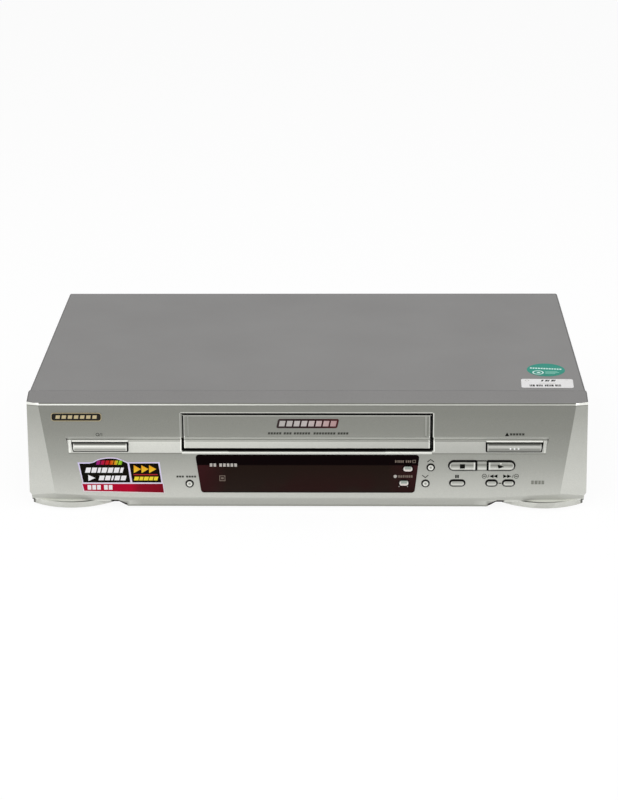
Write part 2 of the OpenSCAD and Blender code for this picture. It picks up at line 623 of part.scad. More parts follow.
module tilt() translate([drum_at[0], drum_at[1], plate]) rotate([0, drum_tilt, 0]) children();
module lower_drum() color([0.75, 0.76, 0.78]) {
  tilt() difference() {
    union() {
      translate([0, 0, 5]) cylinder(h = 14, r = drum_radius, $fn = 96);
      translate([0, 0, 3.4]) cylinder(h = 4, r = drum_radius - 4);
    }
    translate([0, 0, -1]) cylinder(h = 40, r = 3 + shaft_fit);
    translate([0, 0, 15]) cylinder(h = 10, r = drum_radius - 5);
  }
  // base under the tilted drum
  difference() {
    intersection() {
      disc(drum_at, plate + 0.02, plate + 12, 26);
      tilt() translate([0, 0, -20]) cylinder(h = 25, r = 40);
    }
    tilt() translate([0, 0, -20]) cylinder(h = 40, r = 16);
  }
}
module upper_drum() color([0.8, 0.81, 0.83]) tilt() difference() {
  union() {
    translate([0, 0, 19.3]) cylinder(h = 13, r = drum_radius, $fn = 96);
    translate([0, 0, 1]) cylinder(h = 34, r = 3);
  }
  difference() {
    translate([0, 0, 19]) cylinder(h = 8, r = drum_radius - 3);
    translate([0, 0, 18]) cylinder(h = 10, r = 8);
  }
  for (a = [0, 180]) rotate([0, 0, a]) translate([drum_radius - 2, -1, 19]) cube([4, 2, 1.2]);
  for (a = [45:90:350]) rotate([0, 0, a]) translate([18, 0, 25]) cylinder(h = 20, r = 2.5, $fn = 24);
}
module drum_rotor() color([0.3, 0.3, 0.32]) tilt() difference() {
  translate([0, 0, 32.32]) cylinder(h = 4.5, r = 22);
  translate([0, 0, 30]) cylinder(h = 20, r = 3.01);
  translate([0, 0, 35.8]) difference() {
    cylinder(h = 3, r = 18);
    translate([0, 0, -1]) cylinder(h = 5, r = 8);
  }
}

module capstan_shaft() color([0.85, 0.86, 0.88]) disc(capstan_at, 12.4, 48, capstan_radius);
module capstan_flywheel() color([0.5, 0.5, 0.52]) difference() {
  union() {
    disc(capstan_at, 12.4, 16.8, 22);
    disc(capstan_at, 16, 17.4, 5);
  }
  disc(capstan_at, 0, 40, capstan_radius + 0.01);
}
module capstan_housing() color([0.6, 0.5, 0.3]) difference() {
  union() {
    disc(capstan_at, 17.6, 23.8, 5.5);
    disc(capstan_at, plate + 0.02, plate + 1, 6.8);
  }
  disc(capstan_at, 0, 40, capstan_radius + shaft_fit);
}
module capstan_stator() color(green) {
  difference() {
    box(34, 92, 0, 50, pan_z + pan_sheet + 0.02, pan_z + pan_sheet + 1.3);
    disc(capstan_at, 0, 40, 4);
  }
  for (a = [0:60:300])
    translate([capstan_at[0] + 13 * cos(a), capstan_at[1] + 13 * sin(a), pan_z + pan_sheet + 1.2])
      difference() {
        cylinder(h = 0.8, r = 5, $fn = 24);
        cylinder(h = 3, r = 2, $fn = 24);
      }
}

pinch_rest = [68.7, 5.5];
module arm(a, b, z0, z1, w) {
  d = b - a;
  disc(a, z0, z1, w / 2 + 1.5);
  disc(b, z0, z1, w / 2);
  translate([a[0], a[1], z0]) rotate([0, 0, atan2(d[1], d[0])]) translate([0, -w / 2, 0])
    cube([norm(d), w, z1 - z0]);
}
module pinch_arm() color(steel) difference() {
  union() {
    arm(pinch_at, pinch_rest, 24.2, 26.4, 6);
    disc(pinch_at, plate + 0.2, 35, 4.2);
    disc(pinch_rest, 24.2, 47.5, 1.6);
    disc(pinch_rest, 24.2, 30.2, 2.6);
    disc(pinch_rest, 46.3, 47.5, 3);
  }
  disc(pinch_at, 0, 60, 2 + shaft_fit);
}
module pinch_roller() color([0.08, 0.08, 0.08]) difference() {
  disc(pinch_rest, 30.4, 46.1, pinch_radius);
  disc(pinch_rest, 0, 60, 1.6 + shaft_fit);
  difference() {
    disc(pinch_rest, 45.3, 47, 5);
    disc(pinch_rest, 45, 48, 3);
  }
}

module reel(x) {
  at = [x, reel_y];
  difference() {
    union() {
      disc(at, plate + 0.2, 25.4, reel_radius);
      disc(at, 25, 27, reel_radius - 3);
      disc(at, 26, 37, 6.2);
      disc(at, 36.9, 39.5, 4.6);
      for (a = [0:120:240]) translate([x, reel_y, 27]) rotate([0, 0, a]) translate([5, -1, 0])
        cube([3.6, 2, 9]);
    }
    disc(at, 0, 36.4, 2 + shaft_fit);
    for (a = [0:60:300]) disc([x + 12 * cos(a), reel_y + 12 * sin(a)], 0, 40, 3);
  }
}
module supply_reel() color(plastic) reel(-reel_spacing / 2);
module takeup_reel() color(plastic) reel(reel_spacing / 2);

idler_rest = [0, -46];
module idler_arm() color(steel) difference() {
  union() {
    arm(idler_at, idler_rest, 26, 27.2, 7);
    disc(idler_at, plate + 0.2, 27.2, 3.4);
    disc(idler_rest, plate + 0.4, 28, 1.5);
  }
  disc(idler_at, 0, 60, 1.5 + shaft_fit);
}
module idler_wheel() color([0.1, 0.1, 0.1]) difference() {
  disc(idler_rest, plate + 0.8, 25.7, idler_radius);
  disc(idler_rest, 0, 60, 1.5 + shaft_fit);
  difference() {
    disc(idler_rest, 24.7, 30, idler_radius - 2);
    disc(idler_rest, 20, 30, 4);
  }
}

tension_rest = [-60, 14];
module tension_arm() color(steel) difference() {
  union() {
    arm(tension_at, tension_rest, 23.4, 24.6, 5);
    disc(tension_at, plate + 0.2, 25.6, 3.6);
    disc(tension_rest, 23.4, 45, 1.8);
    disc(tension_rest, 30, 31, 3);
    disc(tension_rest, 44, 45, 3);
  }
  disc(tension_at, 0, 60, 1.5 + shaft_fit);
}

// a tape guide on the right side
guide_rest = [34 * guide_arc / 51.96, drum_at[1] - 39.3 * guide_arc / 51.96];
module guide() {
  disc(guide_rest, plate + 0.3, 25.5, 5);
  disc(guide_rest, 17.5, plate + 0.4, 1.6);
  disc(guide_rest, 17, 19.4, 3.6);
  disc(guide_rest, 25.4, 46, 1.4);
  disc(guide_rest, 29, 30.4, 3.8);
  disc(guide_rest, 30.3, 43.2, 3);
  disc(guide_rest, 43.1, 44.5, 3.8);
}
module supply_guide() color([0.85, 0.85, 0.87]) mirror([1, 0, 0]) guide();
module takeup_guide() color([0.85, 0.85, 0.87]) guide();

module loading_motor() color([0.6, 0.6, 0.62]) {
  disc(pinion_at, 27.6, 50, 9);
  disc(pinion_at, 49.9, 51.5, 3);
  box(pinion_at[0] - 13, pinion_at[0] + 11, pinion_at[1] - 9, pinion_at[1] + 5, 26.8, 27.8);
  box(pinion_at[0] - 13, pinion_at[0] - 11.6, pinion_at[1] - 9, pinion_at[1] + 5, plate + 0.02, 27);
  box(pinion_at[0] + 9.6, pinion_at[0] + 11, pinion_at[1] - 9, pinion_at[1] + 1, plate + 0.02, 27);
}
module loading_pinion() color([0.85, 0.83, 0.75]) difference() {
  translate([pinion_at[0], pinion_at[1], plate + 0.6]) rotate([0, 0, 90 + 180 / pinion_teeth])
    linear_extrude(4.6) polygon(gear(gear_module, pinion_teeth, gear_play));
  disc(pinion_at, 0, 60, 1.5);
}
module cam_gear() color([0.9, 0.88, 0.8]) difference() {
  union() {
    translate([cam_at[0], cam_at[1], plate + 0.4]) rotate([0, 0, -90]) linear_extrude(4.2)
      polygon(gear(gear_module, cam_teeth, gear_play));
    disc(cam_at, plate + 0.3, 28.6, 6);
  }
  disc(cam_at, 0, 60, 2.5 + shaft_fit);
  difference() {
    disc(cam_at, plate + 3, 30, 17);
    disc(cam_at, 0, 40, 14.5);
    disc([cam_at[0], cam_at[1] + 15], 0, 40, 4);
  }
}

module erase_head() color(dark) {
  box(-75, -65, 26, 34, plate + 0.02, 27);
  box(-74, -66, 27, 33, 26.9, 44);
  disc([-70, 36], plate + 0.02, 40, 2);
}
module audio_head() color(dark) {
  box(62.6, 75, 38, 50, plate + 0.02, 26);
  box(63, 72, 40, 47, 25.9, 45);
  disc([72.5, 48], 25.9, 42, 1.2);
}

bottom_chassis();
top_cover();
rear_panel();
front_panel();
display_window();
cassette_door();
door_spring();
color(silver) long_button(-long_x, false);  // power_button
color(silver) long_button(long_x, true);  // eject_button
color(silver) button(caps[0]);  // stop_button
color(silver) button(caps[1]);  // play_button
color(silver) button(caps[2]);  // pause_button
color(silver) button(caps[3]);  // rewind_button
color(silver) button(caps[4]);  // fast_forward_button
color(silver) button(caps[5]);  // channel_up_button
color(silver) button(caps[6]);  // channel_down_button
color(silver) button(caps[7]);  // link_button
color(silver) button(caps[8]);  // timer_record_button
color(silver) button(caps[9]);  // record_button
feet();
foot_pads();
cover_screws();
ac_inlet();
scart_sockets();
tuner_can();
translate([0, 0, 13]) main_board();
board_components();
power_transformer();
heat_sink();
front_board();
tact_switches();
display_module();
deck_chassis();
carriage_left();
carriage_right();
carriage_bridge();
holder_carrier();
cassette_holder();
lower_drum();
upper_drum();
drum_rotor();
capstan_shaft();
capstan_flywheel();
capstan_housing();
capstan_stator();
pinch_arm();
pinch_roller();
supply_reel();
takeup_reel();
idler_arm();
idler_wheel();
tension_arm();
supply_guide();
takeup_guide();
loading_motor();
loading_pinion();
cam_gear();
erase_head();
audio_head();
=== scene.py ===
import json
import math

import bmesh
import bpy
from mathutils import Matrix, Vector


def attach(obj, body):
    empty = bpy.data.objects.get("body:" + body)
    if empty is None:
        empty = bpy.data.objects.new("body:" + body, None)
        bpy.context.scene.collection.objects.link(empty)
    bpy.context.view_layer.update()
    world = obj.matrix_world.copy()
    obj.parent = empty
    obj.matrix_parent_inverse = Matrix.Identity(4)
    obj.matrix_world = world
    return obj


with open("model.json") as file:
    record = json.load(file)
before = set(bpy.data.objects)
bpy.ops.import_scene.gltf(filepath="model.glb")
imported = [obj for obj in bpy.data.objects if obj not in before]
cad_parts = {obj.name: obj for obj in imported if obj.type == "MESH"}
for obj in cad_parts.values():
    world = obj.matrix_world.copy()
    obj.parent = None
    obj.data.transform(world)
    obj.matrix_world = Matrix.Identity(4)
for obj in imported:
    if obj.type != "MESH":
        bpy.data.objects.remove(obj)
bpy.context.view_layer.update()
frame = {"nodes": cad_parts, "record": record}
N = frame["nodes"]
scene = bpy.context.scene
MM = 0.001

# sizes in mm, with heights from the table and widths from the middle
COVER_TOP = 92
COVER_X = 213.5  # half width of the cover
FACE_TOP = 86  # height at which the leaning face ends
FACE_Y = -131.5  # y of the face at that height
LEAN = 3 / 73  # lean of the face, bottom forward
SLOT_X = 95.3  # half width of the door's opening
SLOT_LOW = 48.6
SLOT_TOP = 78.45
DOOR_X = 94.2  # half width of the door
DOOR_TOP = 77.7
GROOVE_X = 181  # half width of the groove at its lower edge
GROOVE_LOW = 46.9
GROOVE_MID = 56.1  # height of the crease, where the groove is deepest
GROOVE_TOP = 59.5
GROOVE_DEPTH = 3
LONG_X = 158.9  # middle of a long button
FOOT_X = 183  # middle of a round foot
FOOT_Y = -90
FOOT_RADIUS = 47
NOTCH_X = 139  # where the lower edge turns up beside a round foot
KEYS_Z = 36.79  # height of the stop and play buttons
TAPE_Z = 22.55  # height of the pause and winding buttons
KEY_PROUD = 0.8
KEY_DISH = 0.25


def fy(z):
    """y of the leaning front face at height z."""
    return FACE_Y - LEAN * (FACE_TOP - z)


def groove_y(z):
    """y of the groove's lower face at height z."""
    return fy(z) + GROOVE_DEPTH * (z - GROOVE_LOW) / (GROOVE_MID - GROOVE_LOW)


# colours

def lin(hexa):
    """A colour written as sRGB hex, as linear RGBA."""
    h = hexa.lstrip("#")
    out = []
    for i in (0, 2, 4):
        c = int(h[i:i + 2], 16) / 255
        out.append(c / 12.92 if c <= 0.04045 else ((c + 0.055) / 1.055) ** 2.4)
    return (*out, 1.0)


def silver(v):
    """The front's warm grey at one brightness from 0 to 255, as linear RGBA."""
    return lin("#%02x%02x%02x" % (max(0, v - 1), v, max(0, v - 7)))


# painted shade, laid where gaps, openings and edges are unlit
DARK = lin("#0b0a09")
# painted shade on the cover's sides and on the ends of the strip before it
COVER_SIDE_SHADE = lin("#4c4b4b")


class Nodes:
    """Short calls for building one material, whose colour is laid on in layers.

    x, y and z are the place in mm, nx, ny and nz are the surface's direction, and wide is the distance from
    the middle.
    """

    def __init__(self, name):
        self.material = bpy.data.materials.new(name)
        self.material.use_nodes = True
        self.tree = self.material.node_tree
        self.tree.nodes.clear()
        out = self.tree.nodes.new("ShaderNodeOutputMaterial")
        self.bsdf = self.tree.nodes.new("ShaderNodeBsdfPrincipled")
        self.tree.links.new(self.bsdf.outputs[0], out.inputs[0])
        tex = self.tree.nodes.new("ShaderNodeTexCoord")
        self.coords = tex.outputs["Object"]
        p = self.add("ShaderNodeSeparateXYZ", {"Vector": self.stretch(1000, 1000, 1000)}).outputs
        d = self.add("ShaderNodeSeparateXYZ", {"Vector": tex.outputs["Normal"]}).outputs
        self.x, self.y, self.z = p
        self.nx, self.ny, self.nz = d
        self.wide = self.size(self.x)
        self.col = None

    def add(self, kind, inputs=None, **props):
        n = self.tree.nodes.new(kind)
        for k, v in props.items():
            setattr(n, k, v)
        for k, v in (inputs or {}).items():
            if isinstance(v, bpy.types.NodeSocket):
                self.tree.links.new(v, n.inputs[k])
            else:
                n.inputs[k].default_value = v
        return n

    def stretch(self, sx, sy, sz):
        return self.add("ShaderNodeMapping", {"Vector": self.coords, "Scale": (sx, sy, sz)}).outputs[0]

    def deep(self):
        """Depth behind the leaning front face."""
        return self.calc("ADD", self.calc("MULTIPLY_ADD", self.z, -LEAN, self.y), LEAN * FACE_TOP - FACE_Y)

    def noise(self, scale, detail=3.0, rough=0.5, vec=None):
        ins = {"Vector": vec or self.coords, "Scale": scale, "Detail": detail, "Roughness": rough}
        return self.add("ShaderNodeTexNoise", ins).outputs["Fac"]

    def ramp(self, fac, lo, hi, a, b):
        ins = {"Value": fac, "From Min": lo, "From Max": hi, "To Min": a, "To Max": b}
        return self.add("ShaderNodeMapRange", ins).outputs[0]

    def rise(self, v, lo, hi, top=1):
        """0 below lo, growing to top at hi."""
        return self.ramp(v, lo, hi, 0, top)

    def fall(self, v, lo, hi, top=1):
        """Top below lo, sinking to 0 at hi."""
        return self.ramp(v, lo, hi, top, 0)

    def span(self, v, lo, hi, soft=0.1):
        """1 between lo and hi, 0 outside, with soft ends."""
        return self.every(self.rise(v, lo - soft, lo + soft), self.fall(v, hi - soft, hi + soft))

    def calc(self, op, a, b=0.0, c=0.0):
        return self.add("ShaderNodeMath", {0: a, 1: b, 2: c}, operation=op).outputs[0]

    def size(self, v):
        return self.calc("ABSOLUTE", v)

    def less(self, a, b):
        return self.calc("SUBTRACT", a, b)

    def reach(self, a, b):
        """Length of the way a across and b up."""
        return self.calc("SQRT", self.calc("ADD", self.calc("MULTIPLY", a, a), self.calc("MULTIPLY", b, b)))

    def every(self, *masks):
        out = masks[0]
        for m in masks[1:]:
            out = self.calc("MULTIPLY", out, m)
        return out

    def either(self, a, b):
        return self.calc("MAXIMUM", a, b)

    def mix(self, fac, a, b):
        n = self.tree.nodes.new("ShaderNodeMix")
        n.data_type = "RGBA"
        for i, v in ((0, fac), (6, a), (7, b)):
            if isinstance(v, bpy.types.NodeSocket):
                self.tree.links.new(v, n.inputs[i])
            else:
                n.inputs[i].default_value = v
        return n.outputs[2]

    def lay(self, mask, colour):
        """Lays a colour over the one so far."""
        self.col = self.mix(mask, self.col, colour)

    def scale(self, col, by):
        col = col if isinstance(col, bpy.types.NodeSocket) else col[:3]
        return self.add("ShaderNodeVectorMath", {0: col, "Scale": by}, operation="SCALE").outputs[0]

    def gradient(self, v, stops):
        """Colour along a value, from (value, linear colour) pairs."""
        lo, hi = stops[0][0], stops[-1][0]
        r = self.tree.nodes.new("ShaderNodeValToRGB")
        self.tree.links.new(self.rise(v, lo, hi), r.inputs[0])
        e = r.color_ramp.elements
        e[0].color = stops[0][1]
        e[1].color = stops[-1][1]
        for p, c in stops[1:-1]:
            e.new((p - lo) / (hi - lo)).color = c
        return r.outputs[0]

    def tones(self, v, stops):
        """The front's grey along a value, from (value, brightness) pairs."""
        return self.gradient(v, [(p, silver(s)) for p, s in stops])

    def bump(self, height, strength, distance):
        ins = {"Height": height, "Strength": strength, "Distance": distance}
        return self.add("ShaderNodeBump", ins).outputs[0]

    def grainy(self, col, scale, amount):
        """Fine flecks over a colour, and the noise they come from."""
        f = self.noise(scale, 2.0, 0.6)
        return self.scale(col, self.ramp(f, 0.3, 0.7, 1 - amount, 1 + amount)), f

    def set(self, **kw):
        for k, v in kw.items():
            k = k.replace("_", " ")
            if isinstance(v, bpy.types.NodeSocket):
                self.tree.links.new(v, self.bsdf.inputs[k])
            else:
                self.bsdf.inputs[k].default_value = v
        return self.material


# plain materials

def paint(name, hexa, rough, metal=0.0, grain=900.0, vary=0.05, bump=0.15, depth=0.00002, wear=None, coat=0.0,
          spec=0.5):
    """Moulded or painted surface with fine grain, uneven gloss, and worn patches where asked."""
    n = Nodes(name)
    col, fine = n.grainy(lin(hexa), grain, vary)
    slow = n.noise(14.0, 4.0, 0.55)
    if wear:
        patch = n.rise(n.noise(40.0, 6.0, 0.65), 0.58, 0.75, 0.5)
        col = n.mix(patch, col, lin(wear))
    r = n.ramp(slow, 0.3, 0.7, max(0.02, rough - 0.06), min(1, rough + 0.06))
    return n.set(Base_Color=col, Roughness=r, Metallic=metal, Coat_Weight=coat, Specular_IOR_Level=spec,
                 Normal=n.bump(fine, bump, depth))


def ink(name, hexa, spec=0.2):
    """Matt print."""
    return paint(name, hexa, 0.5, grain=900, vary=0.1, spec=spec)


def gloss_ink(name, hexa, vary, spec=0.3):
    """Print on a sticker."""
    return paint(name, hexa, 0.35, grain=1500, vary=vary, spec=spec)


def brushed(name, hexa, rough, axis=(1, 30, 30), metal=1.0, spots=None):
    """Rolled or turned metal with fine lines along one axis, and duller spots where asked."""
    n = Nodes(name)
    vary = 0.12
    even = lin(hexa)[:3]
    lines = n.noise(260.0, 3.0, 0.6, n.stretch(*axis))
    slow = n.noise(22.0, 5.0, 0.6)
    darker = tuple(v * (1 - vary) for v in even) + (1,)
    paler = tuple(min(1, v * (1 + vary)) for v in even) + (1,)
    col = n.mix(n.rise(slow, 0.3, 0.7), darker, paler)
    if spots:
        col = n.mix(n.rise(n.noise(70.0, 6.0, 0.7), 0.6, 0.72, 0.6), col, lin(spots))
    r = n.ramp(lines, 0.3, 0.7, rough - 0.08, rough + 0.08)
    return n.set(Base_Color=col, Metallic=metal, Roughness=r, Normal=n.bump(lines, 0.2, 0.00002))


def moulded(n, rough=0.42, metal=0.2, spec=0.35):
    """Metallic paint over moulded plastic, in the colour laid so far. Its unlit places have no gloss."""
    col, fine = n.grainy(n.col, 1700.0, 0.06)
    slow = n.noise(16.0, 4.0, 0.55)
    grey = n.add("ShaderNodeRGBToBW", {"Color": col}).outputs[0]
    return n.set(Base_Color=col, Roughness=n.ramp(slow, 0.3, 0.7, rough - 0.05, rough + 0.05), Metallic=metal,
                 Specular_IOR_Level=n.ramp(grey, 0.004, 0.03, 0.04, spec), Normal=n.bump(fine, 0.1, 0.00002))


def film(name, stops, axis="x", rough=0.35):
    """Printed film whose colour runs along an axis."""
    n = Nodes(name)
    col = n.gradient(getattr(n, axis), [(p, lin(c)) for p, c in stops])
    col, speck = n.grainy(col, 1500.0, 0.04)
    return n.set(Base_Color=col, Roughness=n.ramp(speck, 0.3, 0.7, rough - 0.05, rough + 0.05),
                 Specular_IOR_Level=0.08)


# the front's paint with its painted light and shade, as tones in pairs of height and brightness

FACE_TONES = [(10, 203), (14, 202), (19, 196), (28, 183), (33, 175), (45, 159), (57, 149), (65, 141),
              (80, 134), (86, 135)]
FACET_TONES = [(5, 212), (20, 214), (49, 197), (78, 173), (86, 171)]
UNDER_TONES = [(3, 162), (3.5, 184), (4.5, 188), (6.5, 186), (8.5, 190), (10.3, 198)]
CORNER_TONES = [(3, 238), (6.5, 240), (7.2, 226), (8, 202), (9, 194), (10.3, 200)]
LOWER_TONES = [(46.9, 206), (47.6, 203), (51, 207), (54, 213), (54.9, 216), (55.0, 168), (55.5, 168),
               (55.6, 190), (56.1, 190)]
UPPER_TONES = [(56.1, 158), (56.9, 164), (57.5, 184), (58.3, 212), (59.2, 208), (59.5, 186)]
LEDGE_TONES = [(45.3, 150), (45.9, 182), (46.4, 216), (46.9, 238), (47.5, 236), (47.8, 120), (48.2, 40),
               (48.6, 20)]

# painted reflections and shade of the buttons, as pairs of a place, from -1 at the bottom to 1 at the top,
# and a brightness
BAR = [(-1.0, 150), (-0.9, 186), (-0.67, 222), (-0.45, 200), (-0.22, 179), (-0.04, 150), (0.2, 134),
       (0.36, 162), (0.55, 178), (0.72, 168), (0.84, 110), (1.0, 40)]
SHORT = [(-1.0, 176), (-0.8, 200), (-0.56, 220), (-0.19, 202), (0.12, 176), (0.5, 178), (0.7, 150),
         (0.82, 90), (1.0, 40)]
LONG = [(-1.0, 150), (-0.87, 194), (-0.61, 158), (-0.34, 198), (-0.08, 226), (0.17, 254), (0.42, 222),
        (0.6, 134), (0.75, 84), (0.9, 50), (1.0, 50)]
# painted reflections of a round button, with painted shade round its edge, as pairs of the distance from its
# middle and a brightness
ROUND = [(0, 150), (0.45, 158), (0.9, 196), (1.4, 228), (1.95, 240), (2.15, 120), (2.35, 30), (2.5, 30)]
# colours of a button in the window in painted reflections, from -1 at the bottom to 1 at the top
WINDOW_KEY_REFLECTIONS = [(-1.0, "#8a7a76"), (-0.85, "#e8dcd6"), (-0.6, "#ece2dc"), (-0.2, "#c4c4bd"), (0.15, "#979f97"),
          (0.55, "#a2aca4"), (0.9, "#8a938b"), (1.0, "#50544f")]


def brow(n, upward):
    """The bevel along the front's top edge as a painted highlight, paler at the left and at the ends, with a
    dark line of painted shade over and under it.
    """
    right = n.mix(n.rise(n.x, 20, 200), silver(176), silver(168))
    level = n.mix(n.rise(n.x, -200, 20), silver(228), right)
    ends = n.rise(n.wide, 204.4, 204.9)
    level = n.mix(ends, level, silver(252))
    over = n.every(n.rise(n.z, FACE_TOP + 0.1, FACE_TOP + 0.3), n.fall(ends, 0, 1))
    line = n.mix(over, level, silver(92))
    line = n.mix(n.fall(n.z, FACE_TOP - 1, FACE_TOP - 0.8), line, silver(120))
    line = n.mix(n.rise(upward, 0.86, 0.93), line, n.col)
    n.lay(n.rise(n.z, FACE_TOP - 1.5, FACE_TOP - 1.3), line)


def bevel_light_and_shade(name):
    """The front's rounded edges in a painted highlight, dimmer along the bottom, with painted shade round the
    openings and under the notches.
    """
    n = Nodes(name)
    n.col = n.mix(n.fall(n.z, 3.6, 4.2), silver(240), silver(150))
    middle = n.fall(n.wide, SLOT_X + 0.7, SLOT_X + 0.9)
    left = n.every(n.span(n.x, -SLOT_X - 1, -SLOT_X + 0.8), n.span(n.z, SLOT_LOW - 0.6, GROOVE_TOP - 0.5))
    right = n.every(n.span(n.x, SLOT_X - 0.8, SLOT_X + 1.2), n.span(n.z, SLOT_LOW - 0.6, SLOT_TOP + 0.55))
    sill = n.every(n.span(n.z, SLOT_LOW - 0.6, SLOT_LOW + 0.4), middle)
    lintel = n.every(n.span(n.z, SLOT_TOP - 0.15, SLOT_TOP + 0.45), middle)
    notch = n.every(n.span(n.wide, NOTCH_X - 0.5, NOTCH_X + 14), n.fall(n.z, 8, 8.3))
    small_holes = n.every(n.span(n.wide, 86, 166), n.span(n.z, 17, 43))
    long_holes = n.every(n.span(n.wide, LONG_X - 22.9, LONG_X + 22.1), n.span(n.z, 46, 57))
    holes = n.every(n.either(small_holes, long_holes), n.fall(n.nz, -0.1, 0.2))
    for mask in (n.either(right, left), sill, lintel, notch, holes):
        n.lay(mask, DARK)
    brow(n, n.calc("MULTIPLY", n.nz, 0.5))
    return moulded(n, rough=0.38)


def door_bevel_lit_and_unlit(name):
    """The door's rounded edges in a painted highlight along the sides and bottom, paler low down, and in
    painted shade along the top.
    """
    n = Nodes(name)
    sides = n.rise(n.wide, DOOR_X - 1.2, DOOR_X - 0.7)
    lit = n.mix(n.fall(n.z, GROOVE_TOP + 0.5, GROOVE_TOP + 1.5), silver(172), silver(226))
    n.col = n.mix(n.either(n.fall(n.z, 50.8, 51.2), sides), DARK, lit)
    return moulded(n, spec=0.15)


def face(n):
    """Colour of the leaning face: its silver under painted light, paler downwards and to the left."""
    n.col = n.scale(n.tones(n.z, FACE_TONES), n.ramp(n.x, -200, 200, 1.06, 0.97))


def underside(n):
    """The face that leans back under the front, in painted light that is paler at the corners, with a painted
    shadow at the notch beside each round foot.
    """
    under = n.mix(n.rise(n.wide, 128, 150), n.tones(n.z, UNDER_TONES), n.tones(n.z, CORNER_TONES))
    soft = n.every(n.span(n.wide, NOTCH_X - 0.5, NOTCH_X + 8.5, 1.2), n.fall(n.z, 6.4, 7.4, 0.5))
    under = n.mix(soft, under, silver(110))
    over = n.less(n.z, n.ramp(n.wide, NOTCH_X + 0.6, NOTCH_X + 7.5, 2.8, 6.3))
    line = n.every(n.span(n.wide, NOTCH_X + 0.5, NOTCH_X + 13, 0.6), n.fall(over, 1.1, 1.9))
    under = n.mix(line, under, lin("#1e1713"))
    n.lay(n.every(n.fall(n.nz, -0.3, -0.2), n.fall(n.z, 20, 21)), under)


def round_foot(n):
    """Top of a round foot in painted light, with a line of painted shade along its rim and a dark outer end
    in painted shade.
    """
    top = n.every(n.rise(n.nz, 0.8, 0.9), n.fall(n.z, 8, 9))
    reach = n.reach(n.less(n.wide, FOOT_X), n.less(n.y, FOOT_Y))
    n.lay(top, silver(236))
    rim_shade = n.every(n.span(reach, FOOT_RADIUS - 2.4, FOOT_RADIUS - 0.4, 0.3), n.span(n.wide, 164, 198, 4))
    n.lay(n.every(top, rim_shade, n.ramp(n.wide, 170, 198, 1.0, 0.5)), silver(70))
    n.lay(n.every(n.rise(n.wide, 211.2, 212.0, 0.9), n.span(n.z, 2.8, 7.4)), silver(80))


def groove_faces(n, level):
    """The groove's lower face in painted light and shade, brightest at the left, and its upper one likewise.
    The lower face is returned.
    """
    across = n.ramp(n.x, -110, 110, level, 0.70 * level)
    lower = n.every(n.span(n.z, GROOVE_LOW - 0.2, GROOVE_MID + 0.1), n.rise(n.nz, 0.1, 0.2))
    n.lay(lower, n.scale(n.tones(n.z, LOWER_TONES), across))
    upper = n.every(n.span(n.z, GROOVE_MID - 0.1, GROOVE_TOP + 0.1), n.fall(n.nz, -0.35, -0.2))
    n.lay(upper, n.tones(n.z, UPPER_TONES))
    return lower


def slot_outline(n):
    """The ledge under the door in painted light and shade, a painted highlight along the groove's top beside
    the door and round the door's opening, and the unlit gap inside it, painted dark.
    """
    middle = n.fall(n.wide, SLOT_X + 0.7, SLOT_X + 0.9)
    ledge = n.every(n.fall(n.wide, SLOT_X + 0.3, SLOT_X + 0.7), n.span(n.z, SLOT_LOW - 3.3, SLOT_LOW + 0.1))
    n.lay(ledge, n.tones(n.z, LEDGE_TONES))
    beside_door = n.span(n.wide, SLOT_X + 0.7, GROOVE_X + 3.5)
    n.lay(n.every(beside_door, n.span(n.z, GROOVE_TOP, GROOVE_TOP + 0.6)), silver(160))
    low = n.fall(n.z, GROOVE_TOP - 0.5, GROOVE_TOP + 0.5)
    inside = n.less(n.x, n.calc("MULTIPLY", low, 0.6))
    tall = n.span(n.z, SLOT_LOW - 0.6, SLOT_TOP + 0.65)
    above = n.every(n.span(n.z, SLOT_TOP + 0.65, SLOT_TOP + 1.35, 0.15),
                    n.fall(n.wide, SLOT_X + 0.9, SLOT_X + 1.1), 0.7)
    right = n.every(n.span(inside, SLOT_X + 1.2, SLOT_X + 2, 0.15), tall)
    left = n.every(n.span(n.x, -SLOT_X - 1.9, -SLOT_X - 1.1, 0.15), tall, n.ramp(low, 0, 1, 0.4, 1))
    for mask in (above, right, left):
        n.lay(mask, n.mix(low, silver(222), silver(250)))
    n.lay(n.every(middle, n.span(n.z, SLOT_TOP - 0.05, SLOT_TOP + 0.45)), DARK)
    n.lay(n.every(n.span(inside, DOOR_X, SLOT_X + 1.2), n.span(n.z, SLOT_LOW, SLOT_TOP + 0.15)), DARK)
    n.lay(n.every(n.span(n.x, -SLOT_X - 1, -SLOT_X + 0.8), n.span(n.z, SLOT_LOW, GROOVE_TOP - 0.5)), DARK)


def key_surrounds(n, lower):
    """The painted highlight over the long buttons, the groove's lit ends, and the bridge between stop and
    play in painted reflections, with painted shade in the gaps beside it.
    """
    over_long = n.span(n.wide, LONG_X - 21.4, LONG_X + 21.6)
    n.lay(n.every(over_long, n.span(n.z, GROOVE_MID - 0.8, GROOVE_MID - 0.3)), silver(255))
    ends = n.every(n.rise(n.wide, GROOVE_X + 0.2, GROOVE_X + 0.8), lower)
    n.lay(ends, n.mix(n.rise(n.x, -10, 10), silver(244), silver(205)))
    left, right, low, high = 130, 138.6, 32.6, 40.9
    n.lay(n.every(n.span(n.x, left, right), n.span(n.z, low, high)), bar_tones(n, KEYS_Z, 3.9, BAR))
    gap_shade = n.either(n.span(n.x, left - 0.6, left + 0.9, 0.15), n.span(n.x, right - 0.7, right + 0.6, 0.15))
    n.lay(n.every(gap_shade, n.span(n.z, low + 0.3, high - 0.3)), DARK)


